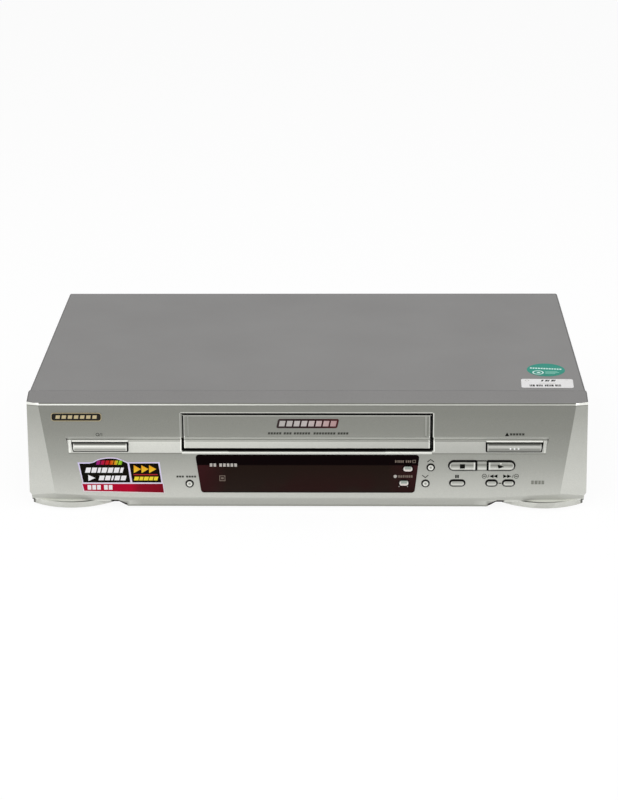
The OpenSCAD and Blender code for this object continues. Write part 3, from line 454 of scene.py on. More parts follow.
def top_strip(n):
    """The strip along the top, before the cover, in a grey of painted shade where it faces up, with darker
    painted shade on its ends.
    """
    n.lay(n.every(n.rise(n.nz, 0.75, 0.85), n.rise(n.z, FACE_TOP - 0.6, FACE_TOP)), lin("#7e7d7c"))
    n.lay(n.every(n.rise(n.nz, 0.1, 0.2), n.rise(n.z, FACE_TOP + 1.2, FACE_TOP + 1.4),
                  n.rise(n.wide, COVER_X - 0.5, COVER_X + 0.1, 0.8)), COVER_SIDE_SHADE)


def front_colour_and_light(name):
    """Silver paint of the front under painted light and shade: other, paler tones on its bent faces, painted
    shade lines, and unlit gaps painted dark.
    """
    n = Nodes(name)
    face(n)
    # paler painted light on the bent faces
    n.lay(n.rise(n.size(n.nx), 0.12, 0.17), n.tones(n.z, FACET_TONES))
    # a line of painted shade under the groove's lower edge beside the door
    beside_door = n.span(n.wide, SLOT_X + 0.7, GROOVE_X + 2)
    n.lay(n.every(n.span(n.z, GROOVE_LOW - 1.1, GROOVE_LOW, 0.2), beside_door), silver(143))
    underside(n)
    round_foot(n)
    lower = groove_faces(n, 1.0)
    slot_outline(n)
    key_surrounds(n, lower)
    top_strip(n)
    brow(n, n.nz)
    # walls of the openings behind the face, painted dark as shade
    within = n.every(n.fall(n.wide, 186, 188), n.span(n.z, 13.5, 82))
    slot = n.every(n.fall(n.wide, SLOT_X + 0.2, SLOT_X + 0.4), n.span(n.z, SLOT_LOW - 0.6, SLOT_TOP + 0.55))
    inner = n.either(n.rise(n.deep(), 0.25, 0.5), slot)
    n.lay(n.every(n.fall(n.size(n.ny), 0.35, 0.5), inner, within), DARK)
    return moulded(n)


def door_colour_and_light(name):
    """Silver paint of the door under painted light, with its fold lines near the sides, a painted lit rim and
    unlit edges painted dark.
    """
    n = Nodes(name)
    face(n)
    groove_faces(n, 0.95)
    flat = n.rise(n.z, GROOVE_TOP + 1, GROOVE_TOP + 1.5)
    n.lay(n.every(n.span(n.x, 89.6, 93.2, 0.1), flat, 0.6), silver(122))
    fold = n.either(n.span(n.wide, 90.45, 91.3, 0.1), n.span(n.x, 90.3, 91.9, 0.1))
    n.lay(n.every(fold, flat), silver(166))
    rim = n.mix(n.fall(n.z, GROOVE_TOP + 0.5, GROOVE_TOP + 1.5), silver(182), silver(238))
    shown = n.either(n.span(n.wide, DOOR_X - 0.7, DOOR_X + 0.1, 0.1),
                     n.span(n.z, DOOR_TOP - 1.2, DOOR_TOP - 0.4, 0.1))
    n.lay(n.every(shown, n.fall(n.ny, -0.8, -0.7)), rim)
    n.lay(n.rise(n.z, DOOR_TOP - 0.45, DOOR_TOP - 0.3), DARK)
    n.lay(n.fall(n.size(n.ny), 0.35, 0.5), DARK)
    return moulded(n)


# the buttons' paint, with painted reflections and shade, each by its middle, width and height

def bar_tones(n, cz, half, stops):
    """Vertical reflections of a button, darkest across its middle."""
    return n.tones(n.z, [(cz + half * s, v) for s, v in stops])


def cap_done(n, lo=0.2, hi=0.4):
    """A button's paint, unlit from a depth on."""
    n.lay(n.rise(n.deep(), lo, hi), DARK)
    return moulded(n, rough=0.35, metal=0.15)


def round_cap(name, cx, cz):
    """Round button with a dished middle, in painted reflections that are paler towards the bottom, with
    painted shade round its edge.
    """
    n = Nodes(name)
    up = n.less(n.z, cz)
    n.col = n.scale(n.tones(n.reach(n.less(n.x, cx), up), ROUND), n.ramp(up, -2.4, 2.4, 1.12, 0.9))
    return cap_done(n)


def window_cap(name, cx, cz, w, h):
    """Pale button in the window, in painted reflections, with painted lit ends."""
    n = Nodes(name)
    n.col = n.gradient(n.z, [(cz + h / 2 * s, lin(c)) for s, c in WINDOW_KEY_REFLECTIONS])
    n.lay(n.rise(n.size(n.less(n.x, cx)), w / 2 - 1.4, w / 2 - 0.5, 0.8), lin("#f0eae4"))
    return cap_done(n)


def bar_face(n, cx, cz, w, h, stops):
    """Painted reflections of a bar, with painted lit ends. The distance from its middle is returned."""
    end = n.size(n.less(n.x, cx))
    lit = n.fall(n.z, cz + h * 0.3, cz + h * 0.45)
    n.col = bar_tones(n, cz, h / 2, stops)
    n.lay(n.every(n.rise(end, w / 2 - 1.5, w / 2 - 0.7, 0.8), lit), silver(244))
    return end


def bar_cap(name, cx, cz, w, h, stops, side=0):
    """Bar with an unlit rim. Side is the one end that is rounded, or 0 for both."""
    n = Nodes(name)
    end = bar_face(n, cx, cz, w, h, stops)
    along = n.calc("MULTIPLY", n.less(n.x, cx), side) if side else end
    past = n.either(n.less(along, w / 2 - h / 2), 0.0)
    up = n.less(n.z, cz)
    rim = n.every(n.rise(n.reach(past, up), h / 2 - 0.7, h / 2 - 0.4), n.ramp(up, -h / 2, 0, 0.35, 1))
    n.lay(rim, DARK)
    return cap_done(n)


def long_cap(name, cx, cz, w, h, level=1.0, dots=()):
    """Long button with unlit ends, a lit roof and white dots at some places from its middle. A level below 1
    darkens it all as painted shade.
    """
    n = Nodes(name)
    end = bar_face(n, cx, cz, w, h, LONG)
    n.col = n.scale(n.col, level)
    n.lay(n.rise(end, w / 2 - 0.45, w / 2 - 0.25), DARK)
    for at in dots:
        n.lay(n.fall(n.reach(n.less(n.x, cx + at), n.less(n.z, cz - 1)), 0.68, 0.78), lin("#ffffff"))
    roof = n.every(n.rise(n.nz, 0.8, 0.9), n.rise(n.z, cz + h / 2 - 0.3, cz + h / 2 - 0.2))
    n.lay(roof, n.mix(n.rise(n.deep(), 4.0, 4.2), DARK, silver(255)))
    return cap_done(n, 5.2, 5.4)


def smoke(name):
    """Dark red tinted acrylic of the display window, with a black field along its top."""
    n = Nodes(name)
    ends = n.rise(n.wide, 62, 80)
    n.col = n.mix(n.fall(n.z, 15, 34), lin("#221712"), lin("#281e1a"))
    n.lay(ends, lin("#37181a"))
    n.lay(n.every(n.rise(n.noise(26.0, 3.0), 0.42, 0.62, 0.5), n.ramp(n.z, 20, 34, 1, 0.2)), lin("#2c1112"))
    n.lay(n.every(n.rise(n.noise(19.0, 2.0), 0.45, 0.6, 0.5), ends), lin("#1b1612"))
    n.lay(n.rise(n.z, 36.6, 37.2), lin("#080001"))
    n.lay(n.fall(n.z, 14.6, 15.4), lin("#0c0a06"))
    return n.set(Base_Color=n.col, Roughness=n.ramp(n.noise(18.0, 3.0), 0.3, 0.7, 0.12, 0.2),
                 Specular_IOR_Level=0.03, Normal=n.bump(n.noise(90.0, 2.0), 0.02, 0.0001))


def cover_colour_and_shade(name):
    """Grey baked paint on sheet steel, with a fine texture, and its bends and sides darker in painted shade.
    """
    n = Nodes(name)
    slope = n.size(n.nx)
    n.col = n.scale(lin("#838281"), n.ramp(n.noise(9.0, 3.0), 0.3, 0.7, 0.985, 1.015))
    n.lay(n.rise(slope, 0.25, 0.8, 0.75), lin("#4e4e4f"))
    n.lay(n.every(n.rise(n.wide, COVER_X - 1.9, COVER_X - 1.1, 0.85), n.fall(slope, 0.9, 0.95)), COVER_SIDE_SHADE)
    col, fine = n.grainy(n.col, 1500.0, 0.05)
    return n.set(Base_Color=col, Roughness=n.ramp(n.noise(14.0, 4.0), 0.3, 0.7, 0.5, 0.6), Metallic=0.1,
                 Specular_IOR_Level=0.35, Normal=n.bump(fine, 0.25, 0.00003))


# materials of the nodes

SILVER = front_colour_and_light("silver_and_painted_light")
DOOR = door_colour_and_light("door_silver_and_painted_light")
EDGE = bevel_light_and_shade("front_edge_highlights_and_shade")
HEM = door_bevel_lit_and_unlit("door_bevel_lit_and_unlit")
SHADE = paint("unlit_edge", "#100f0d", 0.6, grain=1500, vary=0.1, spec=0.1)
COVER = cover_colour_and_shade("cover_grey_and_painted_shade")
WINDOW = smoke("smoked_acrylic")
ZINC = brushed("zinc_sheet", "#b9bbb8", 0.42, spots="#9fa3a2")
BRIGHT = brushed("polished_steel", "#d8d8da", 0.18, axis=(30, 30, 1))
DRUM = brushed("turned_aluminium", "#d5d6d8", 0.2, axis=(1, 1, 40))
MOTOR = brushed("plated_motor", "#8b8d92", 0.35, axis=(1, 1, 30))
BLACK = paint("black_moulding", "#161617", 0.55, grain=1200, vary=0.12, bump=0.25)
SCREW = paint("black_zinc", "#1d1d20", 0.35, metal=0.8, grain=900, vary=0.15)
RUBBER = paint("matt_rubber", "#0e0e0e", 0.85, grain=600, vary=0.2, bump=0.4, depth=0.00005)
BOARD = paint("solder_mask", "#1f5a38", 0.35, grain=300, vary=0.2, bump=0.3, coat=0.3)
VFD = paint("display_glass", "#10302f", 0.12, grain=120, vary=0.2, bump=0.02, coat=0.5)
CORE = brushed("laminated_core", "#5a544c", 0.55, axis=(1, 60, 1), metal=0.7, spots="#3c2f25")
BRASS = brushed("sintered_brass", "#b08c4a", 0.45, axis=(1, 1, 20))
GEARS = paint("natural_plastic", "#e6dfcc", 0.45, grain=700, vary=0.04)
# each button's paint with its painted reflections and shade
CAPS = {
    "stop_button": bar_cap("stop_colour_and_light", 119.15, KEYS_Z, 20.0, 7.3, BAR, side=-1),
    "play_button": bar_cap("play_colour_and_light", 149.4, KEYS_Z, 19.7, 7.3, BAR, side=1),
    "pause_button": bar_cap("pause_colour_and_light", 115.65, TAPE_Z, 11.0, 4.4, SHORT),
    "rewind_button": bar_cap("rewind_colour_and_light", 141.95, TAPE_Z, 8.1, 4.4, SHORT),
    "fast_forward_button": bar_cap("forward_colour_and_light", 155.0, TAPE_Z, 8.5, 4.4, SHORT),
    "channel_up_button": round_cap("up_colour_and_light", 95.1, 35.21),
    "channel_down_button": round_cap("down_colour_and_light", 91.2, 22.11),
    "link_button": round_cap("link_colour_and_light", -90.6, 21.71),
    "timer_record_button": window_cap("timer_colour_and_light", 77.6, 34.09, 6.9, 4.2),
    "record_button": window_cap("record_colour_and_light", 74.6, 22.49, 6.9, 4.2),
    "power_button": long_cap("power_colour_and_light", -LONG_X, 51.4, 42.0, 6.2),
    # the eject button is darkened as painted shade
    "eject_button": long_cap("eject_colour_and_light", LONG_X, 51.4, 42.0, 6.2, level=0.62, dots=(-3.1, 0, 3.1)),
}

LOOKS = {"front_silver": SILVER, "button_silver": SILVER, "cover_grey": COVER, "smoked_window": WINDOW,
         "zinc_steel": ZINC, "bright_steel": BRIGHT, "drum_aluminium": DRUM, "motor_steel": MOTOR,
         "black_plastic": BLACK, "black_screws": SCREW, "rubber": RUBBER, "circuit_board": BOARD,
         "display_glass": VFD, "transformer_core": CORE, "bearing_brass": BRASS, "gear_plastic": GEARS}
OWN = dict(CAPS, cassette_door=DOOR)
for part in frame["record"]["subparts"]:
    mats = N[part["node"]].data.materials
    mats.clear()
    mats.append(OWN.get(part["node"], LOOKS[part["material_slot"]]))


def soften(name, width, edge=None, harden=True):
    """Rounds a node's hard edges as moulding leaves them, with a material of their own where asked, which
    paints light and shade on them.
    """
    sharpest = 28  # degrees between two faces that stay an even surface
    o = N[name]
    w = o.modifiers.new("weld", "WELD")
    w.merge_threshold = 0.000005
    b = o.modifiers.new("edge", "BEVEL")
    b.width = width * MM
    b.segments = 2
    b.limit_method = "ANGLE"
    b.angle_limit = math.radians(sharpest)
    b.use_clamp_overlap = True
    b.harden_normals = harden
    if not harden:
        o.modifiers.new("flat", "WEIGHTED_NORMAL").keep_sharp = True
    if edge:
        o.data.materials.append(edge)
        b.material = 1


soften("front_panel", 0.4, edge=EDGE)
soften("cassette_door", 0.25, edge=HEM, harden=False)
for name in CAPS:
    soften(name, 0.6, edge=SHADE)
soften("display_window", 0.2)


# building added pieces

def piece(name, bm, look, body):
    """A piece from a bmesh, with one material, that rides on a body."""
    bmesh.ops.recalc_face_normals(bm, faces=bm.faces[:])
    mesh = bpy.data.meshes.new(name)
    bm.to_mesh(mesh)
    bm.free()
    mesh.materials.append(look)
    obj = bpy.data.objects.new(name, mesh)
    scene.collection.objects.link(obj)
    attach(obj, body)


def on_face(base=fy):
    """Places x, z and a height off the surface, on the front face or one like it."""
    return lambda u, v, d: (u * MM, (base(v) - d) * MM, v * MM)


def on_top(u, v, d):
    """Places x, y and a height off the surface, on the cover."""
    return (u * MM, v * MM, (COVER_TOP + d) * MM)


def on_key(z):
    """y of the stop and play buttons' dished faces."""
    return fy(KEYS_Z) - KEY_PROUD + KEY_DISH


def prints(name, shapes, look, body="case", slot="front_silver", off=0.02, thick=0.05, place=on_face()):
    """Thin shapes from outlines, laid on a surface. A pair of outlines is a shape and its hole."""
    bm = bmesh.new()
    levels = (off + thick, off)
    for shape in shapes:
        if isinstance(shape, tuple):
            outer, outer_back, hole, hole_back = [[bm.verts.new(place(u, v, d)) for u, v in outline]
                                                  for outline in shape for d in levels]
            for i in range(len(outer)):
                j = (i + 1) % len(outer)
                bm.faces.new((outer[i], outer[j], hole[j], hole[i]))
                bm.faces.new((outer_back[j], outer_back[i], hole_back[i], hole_back[j]))
                bm.faces.new((outer[j], outer[i], outer_back[i], outer_back[j]))
                bm.faces.new((hole[i], hole[j], hole_back[j], hole_back[i]))
        else:
            front, back = [[bm.verts.new(place(u, v, d)) for u, v in shape] for d in levels]
            bm.faces.new(front)
            bm.faces.new(back[::-1])
            for i in range(len(front)):
                j = (i + 1) % len(front)
                bm.faces.new((front[j], front[i], back[i], back[j]))
    bmesh.ops.triangulate(bm, faces=bm.faces[:])
    piece(name, bm, look, body)


def disc(x, z, r, steps=32):
    turn = 2 * math.pi / steps
    return [(x + r * math.cos(turn * i), z + r * math.sin(turn * i)) for i in range(steps)]


def ring(x, z, r, thick):
    return disc(x, z, r), disc(x, z, r - thick)


def rect(x, z, w, h, slant=0.0):
    s = slant * h / 2
    return [(x - w / 2 + s, z + h / 2), (x - w / 2 - s, z - h / 2), (x + w / 2 - s, z - h / 2),
            (x + w / 2 + s, z + h / 2)]


def frame_rect(x, z, w, h, t):
    return rect(x, z, w, h), rect(x, z, w - 2 * t, h - 2 * t)


def soft_rect(x, z, w, h, r, slant=0.0):
    """Rectangle with round corners, leaning by the slant."""
    steps = 5
    reach_x, reach_z = w / 2 - r, h / 2 - r
    out = []
    for cx, cz, start in ((reach_x, reach_z, 0), (-reach_x, reach_z, 90), (-reach_x, -reach_z, 180),
                          (reach_x, -reach_z, 270)):
        for i in range(steps + 1):
            turn = math.radians(start + 90 * i / steps)
            across, up = cx + r * math.cos(turn), cz + r * math.sin(turn)
            out.append((x + across + slant * up, z + up))
    return out


def tri(x, z, w, h):
    """Triangle that points to +x, or to -x with w below zero."""
    return [(x - w / 2, z + h / 2), (x - w / 2, z - h / 2), (x + w / 2, z)]


def stroke(pts, w):
    """Outline of a line through points."""
    left, right = [], []
    for i, (x, z) in enumerate(pts):
        a, b = pts[max(0, i - 1)], pts[min(len(pts) - 1, i + 1)]
        dx, dz = b[0] - a[0], b[1] - a[1]
        k = w / 2 / math.hypot(dx, dz)
        left.append((x - dz * k, z + dx * k))
        right.append((x + dz * k, z - dx * k))
    return left + right[::-1]


def curve(pts):
    """Smooth line through points."""
    steps = 6
    out = []
    for i in range(len(pts) - 1):
        near = [pts[max(0, i - 1)], pts[i], pts[i + 1], pts[min(len(pts) - 1, i + 2)]]
        for t in (j / steps for j in range(steps)):
            at = []
            for a, b, c, d in zip(*near):
                at.append(0.5 * (2 * b + (c - a) * t + (2 * a - 5 * b + 4 * c - d) * t * t
                                 + (3 * b - a - 3 * c + d) * t ** 3))
            out.append(tuple(at))
    return out + [pts[-1]]


def dashes(x0, x1, z, h, sizes, gap=0.35, slant=0.0):
    """A row of plain blocks in place of words. Sizes share out the length, and one below zero is a space."""
    unit = (x1 - x0 - gap * (len(sizes) - 1)) / sum(abs(s) for s in sizes)
    out, x = [], x0
    for s in sizes:
        w = abs(s) * unit
        if s > 0:
            out.append(rect(x + w / 2, z, w, h, slant))
        x += w + gap
    return out


def turned(pts, cx, cy, degrees):
    """Points turned about a centre."""
    turn = math.radians(degrees)
    c, s = math.cos(turn), math.sin(turn)
    return [(cx + (x - cx) * c - (y - cy) * s, cy + (x - cx) * s + (y - cy) * c) for x, y in pts]


INK = ink("dark_print", "#11120f", spec=0.05)
FAINT = ink("faint_print", "#3f403b", spec=0.1)
FIELD = {"off": 0.08, "thick": 0.03}  # second layer of a sticker
MARK = {"off": 0.12, "thick": 0.03}  # third layer of a sticker


def panel_prints():
    """Icons over the buttons, and blocks for the captions."""
    row = 28.1  # height of the icons over the winding buttons
    low = 27.9
    up = [stroke([(92.5, 39.7), (94.94, 41.7), (97.6, 39.7)], 0.65)]
    down = [stroke([(88.6, 28.9), (91.05, 26.9), (93.3, 28.9)], 0.65)]
    pause = [rect(x, low, 1.2, 2.5) for x in (114.55, 116.15)]
    rewind = [tri(x, row, -3.2, 2.9) for x in (141.8, 144.8)]
    forward = [tri(x, row, 3.2, 2.9) for x in (152.4, 155.4)]
    eject = [[(151.4, 60.7), (154.6, 60.7), (153.0, 63.6)]]
    power = [ring(-160.4, 61.7, 1.3, 0.35), rect(-158.4, 61.7, 0.35, 2.4, 0.35), rect(-157.0, 61.7, 0.4, 2.2)]
    faint = []
    for x, bar in ((136.3, 139.4), (160.9, 158.1)):
        faint += [ring(x, row, 1.9, 0.42), rect(x, row, 2.0, 0.7), rect(bar, row, 0.4, 2.7, 0.35)]
    caption = dashes(155.2, 166.2, 62.1, 1.7, [2] * 5, 0.55)
    link_mark = dashes(-100.6, -85.5, 27.5, 1.5, [2, 2, 2, -1, 2, 2, 2, 2], 0.5)
    join = [rect(148.4, 22.4, 2.2, 0.8)]
    code = dashes(172.4, 182.3, 23.1, 3.0, [2, 2.3, 1.8, 2], 0.6)
    prints("panel_code", code, ink("pale_ink", "#83847c"), slot="black_plastic")
    prints("panel_marks", up + down + pause + rewind + forward + eject + power, INK, slot="black_plastic")
    prints("panel_captions", faint + caption + link_mark + join, FAINT, slot="black_plastic")


def window_prints():
    """Dots, frames and blocks on the window, which stands a little proud, and two painted glints."""
    proud = 0.13
    pale = [disc(67.9, 27.9, 1.3)] + dashes(-74.7, -53.8, 37.0, 2.6, [3, 3, -1, 3, 3, 3, 3, 3], 0.9)
    # two small painted glints at the lower corners of the record button's hole
    pale += [rect(70.9, 19.6, 0.7, 0.6), rect(77.4, 19.6, 0.7, 0.6)]
    dim = dashes(67.7, 80.0, 40.1, 1.9, [2, 1, 2, 2, 2, -1, 2, 2, 2], 0.5)
    dim += dashes(70.2, 81.2, 27.9, 1.9, [2, 2, 2, 1, 2, 2, 2], 0.45)
    dim += [frame_rect(82.3, 40.1, 2.6, 2.4, 0.45)]
    dim += [frame_rect(-65.2, 26.2, 4.6, 4.6, 0.6), rect(-65.2, 26.2, 2.0, 1.6)]
    prints("window_pale_marks_and_glints", pale, ink("window_print_and_glints", "#b9b4ae"), off=proud)
    prints("window_captions", dim, ink("dim_print", "#76695f"), off=proud)


def key_prints():
    """Icons on the stop and play buttons, and the raised dot on play."""
    flat = {"off": 0.0, "thick": 0.08, "place": on_face(on_key)}
    raised = dict(flat, thick=0.2)
    dot = paint("raised_dot", "#f4f4ee", 0.4, grain=1500, vary=0.02, spec=0.3)
    prints("stop_mark", [rect(119.35, 36.3, 3.9, 3.6)], INK, "stop_button", "black_plastic", **flat)
    prints("play_mark", [tri(148.9, 36.0, 4.9, 3.5)], INK, "play_button", "black_plastic", **flat)
    prints("play_dot", [disc(148.8, 38.5, 0.62)], dot, "play_button", **raised)


def lower_lip():
    """Lip that carries the front's lower edge down between the two round feet, with slanted ends."""
    slant, bottom = 1.1, 1.5
    section = [(-131.62, 3.06), (-131.2, 1.9), (-130.9, 1.6), (-129.6, 1.6), (-129.4, 3.06)]
    bm = bmesh.new()
    rows = [[bm.verts.new((sign * (NOTCH_X + slant * (z - bottom)) * MM, y * MM, z * MM)) for y, z in section]
            for sign in (-1, 1)]
    for i in range(len(section)):
        j = (i + 1) % len(section)
        bm.faces.new((rows[0][i], rows[1][i], rows[1][j], rows[0][j]))
    bm.faces.new(rows[0])
    bm.faces.new(rows[1][::-1])
    look = paint("lip_paint", "#a3a49c", 0.45, metal=0.2, grain=1700, vary=0.04, spec=0.3)
    piece("lower_lip", bm, look, "case")


def groove_highlights():
    """Bright strip over each long button, a painted highlight."""
    look = paint("long_key_highlight", "#fbfcf4", 0.42, metal=0.1, grain=1700, vary=0.03, spec=0.35)
    for side, sign in (("left", -1), ("right", 1)):
        prints("groove_highlight_" + side, [rect(sign * 159.25, 55.05, 43.2, 0.66)], look, off=-0.5, thick=0.5,
               place=on_face(groove_y))


def nameplate():
    """Blank plate at the upper left, with a gold edge and a row of bars."""
    x, z, w, h, edge = -176.2, 75.9, 38.6, 6.6, 0.4
    gold = paint("pale_gold", "#c4b48c", 0.35, metal=0.4, grain=1200, vary=0.08, spec=0.4)
    plate = paint("dark_plate", "#16130d", 0.4, grain=1200, vary=0.1, spec=0.2)
    trim = [(soft_rect(x, z, w, h, 2.2), soft_rect(x, z, w - 2 * edge, h - 2 * edge, 1.9))]
    trim += [rect(x + i * 4.7, z, 3.2, 2.7, 0.18) for i in range(-3, 4)]
    prints("nameplate", [soft_rect(x, z, w, h, 2.2)], plate, slot="black_plastic", thick=0.25)
    prints("nameplate_trim", trim, gold, off=0.24, thick=0.12)


def door_badge():
    """Blank badge on the door, with a row of bars and a row of blocks under it."""
    z, slant = 70.7, 0.22
    dark = film("badge_film", [(-24, "#3a2f2f"), (-8, "#2a1c1d"), (8, "#2b1215"), (24, "#4a2526")])
    pale = film("badge_silver", [(-22, "#b8b4b0"), (0, "#c2bab8"), (14, "#c0a5a4"), (24, "#b58f90")],
                rough=0.3)
    bars = dashes(-20.8, 22.6, z, 4.4, [3] * 8, 1.3, slant)
    words = [2] * 5 + [-1] + [2] * 3 + [-1] + [2] * 6 + [-2] + [2] * 8 + [-1] + [2] * 4
    prints("door_badge", [soft_rect(0.8, z, 46.6, 7.4, 1.4, slant)], dark, "door", thick=0.12)
    prints("badge_bars", bars, pale, "door", off=0.13, thick=0.1)
    prints("door_caption", dashes(-29.6, 31.8, 62.75, 1.7, words, 0.55, 0.15), FAINT, "door", "black_plastic")


def corner_sticker():
    """Sticker at the lower left: dark fields over a crimson band, with bars, triangles and blocks."""
    border = 0.9
    bump = curve([(-165.2, 39.07), (-160.7, 41.6), (-155.5, 42.85), (-150.6, 43.1), (-146.5, 42.7),
                  (-143.0, 41.4), (-137.7, 39.1)])
    outline = [(-176.7, 39.06)] + bump
    outline += [(-113.3, 39.38), (-111.3, 21.95), (-110.7, 21.6), (-110.0, 13.75)]
    outline += [(-172.9, 15.1), (-174.4, 21.6), (-173.4, 21.9)]
    left = [(-175.3, 37.95), (-167.6, 38.0)] + [(x, z - border) for x, z in bump[2:-2]]
    left += [(-138.1, 37.95), (-136.4, 22.65), (-172.7, 22.6)]
    right = [(-136.7, 38.2), (-114.4, 38.3), (-112.4, 22.65), (-134.8, 22.65)]
    band = [(-173.6, 21.35), (-172.2, 15.75), (-110.6, 14.35), (-111.4, 21.55)]
    bars = [rect(-160.6 + i * 3.4, 38.9, 2.7, 3.4, 0.3) for i in range(6)]
    words = dashes(-170.6, -141.6, 32.7, 4.2, [4, 4, 2.4, 4, 4, 4, 2.4], 0.9, 0.28)
    words += [tri(-166.0, 26.3, 5.6, 5.0)]
    words += dashes(-160.4, -139.6, 26.3, 3.8, [3.4, 3.4, 1.4, 3.4, 3.4], 0.9, 0.28)
    words += dashes(-169.6, -150.4, 18.6, 3.8, [3, 3, 3, -1, 3, 3], 0.8)
    gold = [tri(-130.6 + i * 5.9, 33.6, 5.6, 6.4) for i in range(3)]
    gold += dashes(-133.2, -115.0, 25.9, 3.0, [3, 2.4, 3, 2.6, 2.6], 0.6, 0.3)

    stock = film("sticker_stock", [(13, "#ecd6d8"), (18, "#e6dcec"), (38, "#dcd6f6"), (43, "#e2d4ee")],
                 axis="z")
    black = gloss_ink("sticker_black", "#100d09", 0.1, 0.03)
    crimson = film("sticker_crimson", [(-172, "#b0002e"), (-136, "#b4002c"), (-130, "#8e0422"),
                                       (-111, "#7c061c")])
    rainbow = film("sticker_rainbow", [(-163, "#8c2888"), (-157, "#b4143c"), (-152, "#cc2410"),
                                       (-148, "#e08c1c"), (-145, "#a8dc30"), (-141, "#4c8c1c")])
    white = gloss_ink("sticker_white", "#f2f0f4", 0.02)
    yellow = film("sticker_yellow", [(22, "#f0e23a"), (30, "#f2d63a"), (34, "#f2b52c"), (38, "#f0a028")],
                  axis="z")
    red = gloss_ink("sticker_red", "#b0141c", 0.05)
    prints("sticker_stock", [outline[::-1]], stock)
    prints("sticker_fields", [left[::-1], right[::-1]], black, slot="black_plastic", **FIELD)
    prints("sticker_band", [band], crimson, **FIELD)
    prints("sticker_bars", bars, rainbow, **MARK)
    prints("sticker_words", words, white, **MARK)
    prints("sticker_gold", gold, yellow, **MARK)
    prints("sticker_rule", [rect(-124.4, 29.1, 18.6, 0.8)], red, **MARK)


def round_sticker():
    """Teal sticker on the cover, with a slanted row of blocks, a ring and three lines."""
    teal = film("teal_film", [(-86, "#008874"), (-70, "#00927e"), (-55, "#008e7c")], axis="y")
    prints("round_sticker", [disc(186.85, -70.1, 14.9, 48)], teal, place=on_top)
    row = dashes(174.6, 199.2, -67.3, 2.6, [2, 2, 2, 2.4, 2, 2.2, 2, 2.2, 2, 2, 2, 2.2], 0.5)
    marks = [turned(block, 186.9, -67.5, -7.5) for block in row]
    marks += [ring(180.2, -76.2, 4.5, 1.1), disc(180.6, -76.4, 1.4)]
    lines = [rect(190.6, -74.4, 9.6, 1.0), rect(191.2, -76.6, 10.8, 1.1), rect(189.6, -78.8, 7.8, 0.9)]
    prints("round_sticker_marks", marks, gloss_ink("mint_print", "#d3f3ec", 0.03), place=on_top, **FIELD)
    prints("round_sticker_lines", lines, gloss_ink("sea_print", "#7fcdb8", 0.05), place=on_top, **FIELD)


def price_slip():
    """Pale slip on the cover, laid a little askew, with blocks in place of its figures and lines."""
    x, y = 185.3, -101.0
    slip = [(u + 0.05 * (v - y), v - 0.018 * (u - 185)) for u, v in soft_rect(x, y, 40.0, 19.6, 2.0)]
    paper = paint("slip_paper", "#f2f1f1", 0.6, grain=700, vary=0.04, wear="#e2e0df", spec=0.1)
    prints("price_slip", [slip], paper, thick=0.08, place=on_top)
    ticks = dashes(181.2, 192.0, -94.9, 3.8, [1.3, -0.8, 1.6, 0.9, -0.8, 1.7, 0.7], 0.3, 0.3)
    ticks += dashes(171.4, 195.4, -105.9, 4.2, [0.7, 1, 1.8, -0.5, 1.5, 1, 1, 0.7, -1, 1, 1.4, 0.7, 0.7, 1.9,
                                                -0.6, 1.4, 0.8, 0.8, 0.6])
    lines = [rect(x, -100.9, 13.4, 0.5), ring(170.2, -94.6, 1.6, 0.35), rect(200.9, -93.6, 2.0, 0.5)]
    layer = {"off": 0.11, "thick": 0.03, "place": on_top}
    prints("price_slip_marks", ticks, ink("slip_print", "#23211f"), slot="black_plastic", **layer)
    prints("price_slip_lines", lines, ink("slip_grey", "#b3aea6"), **layer)


panel_prints()
window_prints()
key_prints()
lower_lip()
groove_highlights()
nameplate()
door_badge()
corner_sticker()
round_sticker()
price_slip()


# lights, background, floor and camera, in metres

def area(name, loc, target, size, energy):
    d = bpy.data.lights.new(name, "AREA")
    d.shape = "RECTANGLE"
    d.size, d.size_y = size
    d.energy = energy
    o = bpy.data.objects.new(name, d)
    scene.collection.objects.link(o)
    o.location = loc
    o.rotation_euler = (Vector(target) - Vector(loc)).to_track_quat("-Z", "Y").to_euler()


def seen(tree):
    """1 for the camera and for what mirrors and glass show of the background."""
    path = tree.nodes.new("ShaderNodeLightPath")
    out = path.outputs["Is Camera Ray"]
    for ray in ("Is Glossy Ray", "Is Transmission Ray"):
        m = tree.nodes.new("ShaderNodeMath")
        m.operation = "MAXIMUM"
        tree.links.new(out, m.inputs[0])
        tree.links.new(path.outputs[ray], m.inputs[1])
        out = m.outputs[0]
    return out


def background():
    """White for whatever sees it, and softer as a light."""
    light, shown = 0.42, 1.0
    world = bpy.data.worlds.new("studio")
    scene.world = world
    world.use_nodes = True
    tree = world.node_tree
    tree.nodes.clear()
    out = tree.nodes.new("ShaderNodeOutputWorld")
    mix = tree.nodes.new("ShaderNodeMixShader")
    tree.links.new(seen(tree), mix.inputs[0])
    for i, strength in ((1, light), (2, shown)):
        b = tree.nodes.new("ShaderNodeBackground")
        b.inputs[0].default_value = (1, 1, 1, 1)
        b.inputs[1].default_value = strength
        tree.links.new(b.outputs[0], mix.inputs[i])
    tree.links.new(mix.outputs[0], out.inputs[0])


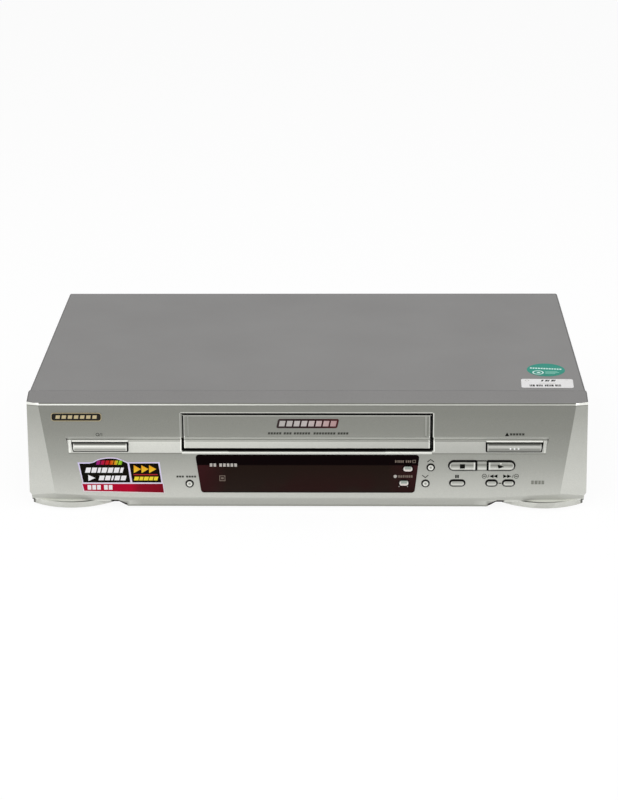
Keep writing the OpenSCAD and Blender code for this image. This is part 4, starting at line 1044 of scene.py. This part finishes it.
def floor_paint():
    """Pale matt floor that is seen almost as white, and still takes a faint shadow."""
    m = bpy.data.materials.new("pale_floor")
    m.use_nodes = True
    tree = m.node_tree
    tree.nodes.clear()
    out = tree.nodes.new("ShaderNodeOutputMaterial")
    matt = tree.nodes.new("ShaderNodeBsdfDiffuse")
    matt.inputs[0].default_value = (0.85, 0.85, 0.85, 1)
    glow = tree.nodes.new("ShaderNodeEmission")
    glow.inputs[1].default_value = 1.04
    share = tree.nodes.new("ShaderNodeMath")
    share.operation = "MULTIPLY"
    share.inputs[1].default_value = 0.88
    tree.links.new(seen(tree), share.inputs[0])
    mix = tree.nodes.new("ShaderNodeMixShader")
    tree.links.new(share.outputs[0], mix.inputs[0])
    tree.links.new(matt.outputs[0], mix.inputs[1])
    tree.links.new(glow.outputs[0], mix.inputs[2])
    tree.links.new(mix.outputs[0], out.inputs[0])
    return m


def lay_floor():
    half = 6
    corners = [(-half, -half, 0), (half, -half, 0), (half, half, 0), (-half, half, 0)]
    mesh = bpy.data.meshes.new("floor")
    mesh.from_pydata(corners, [], [(0, 1, 2, 3)])
    mesh.materials.append(floor_paint())
    floor = bpy.data.objects.new("floor", mesh)
    scene.collection.objects.link(floor)


def camera():
    """Camera fitted to the corners of the cover in the photograph, with its focal length in pixels."""
    focal, photo_height, sensor = 2107.0716, 800, 36
    place = Vector((36.7946, -1632.2574, 650.9167)) * MM
    pitch, yaw, roll = (math.radians(a) for a in (20.5, -1.3295603, -0.4346287))
    forward = Vector((math.sin(yaw) * math.cos(pitch), math.cos(yaw) * math.cos(pitch), -math.sin(pitch)))
    right = Vector((math.cos(yaw), -math.sin(yaw), 0))
    up = right.cross(forward)
    rolled_right = right * math.cos(roll) + up * math.sin(roll)
    rolled_up = up * math.cos(roll) - right * math.sin(roll)
    cam = bpy.data.cameras.new("camera")
    cam.sensor_width = sensor
    cam.sensor_fit = "AUTO"
    cam.lens = focal * sensor / photo_height
    cam.clip_start = 0.05
    o = bpy.data.objects.new("camera", cam)
    scene.collection.objects.link(o)
    turn = Matrix((rolled_right, rolled_up, -forward)).transposed().to_4x4()
    o.matrix_world = Matrix.Translation(place) @ turn
    scene.camera = o


area("top_box", (0.0, 0.1, 1.5), (0, 0, 0), (1.6, 1.2), 4.6)
area("front_box", (0.0, -1.6, 1.2), (0, 0, 0.03), (2.2, 1.0), 14.5)
area("left_box", (-1.6, -0.5, 0.7), (0, 0, 0.04), (0.9, 1.0), 3.5)
area("right_box", (1.6, -0.5, 0.7), (0, 0, 0.04), (0.9, 1.0), 3)
background()
lay_floor()
camera()
scene.view_settings.view_transform = "Standard"
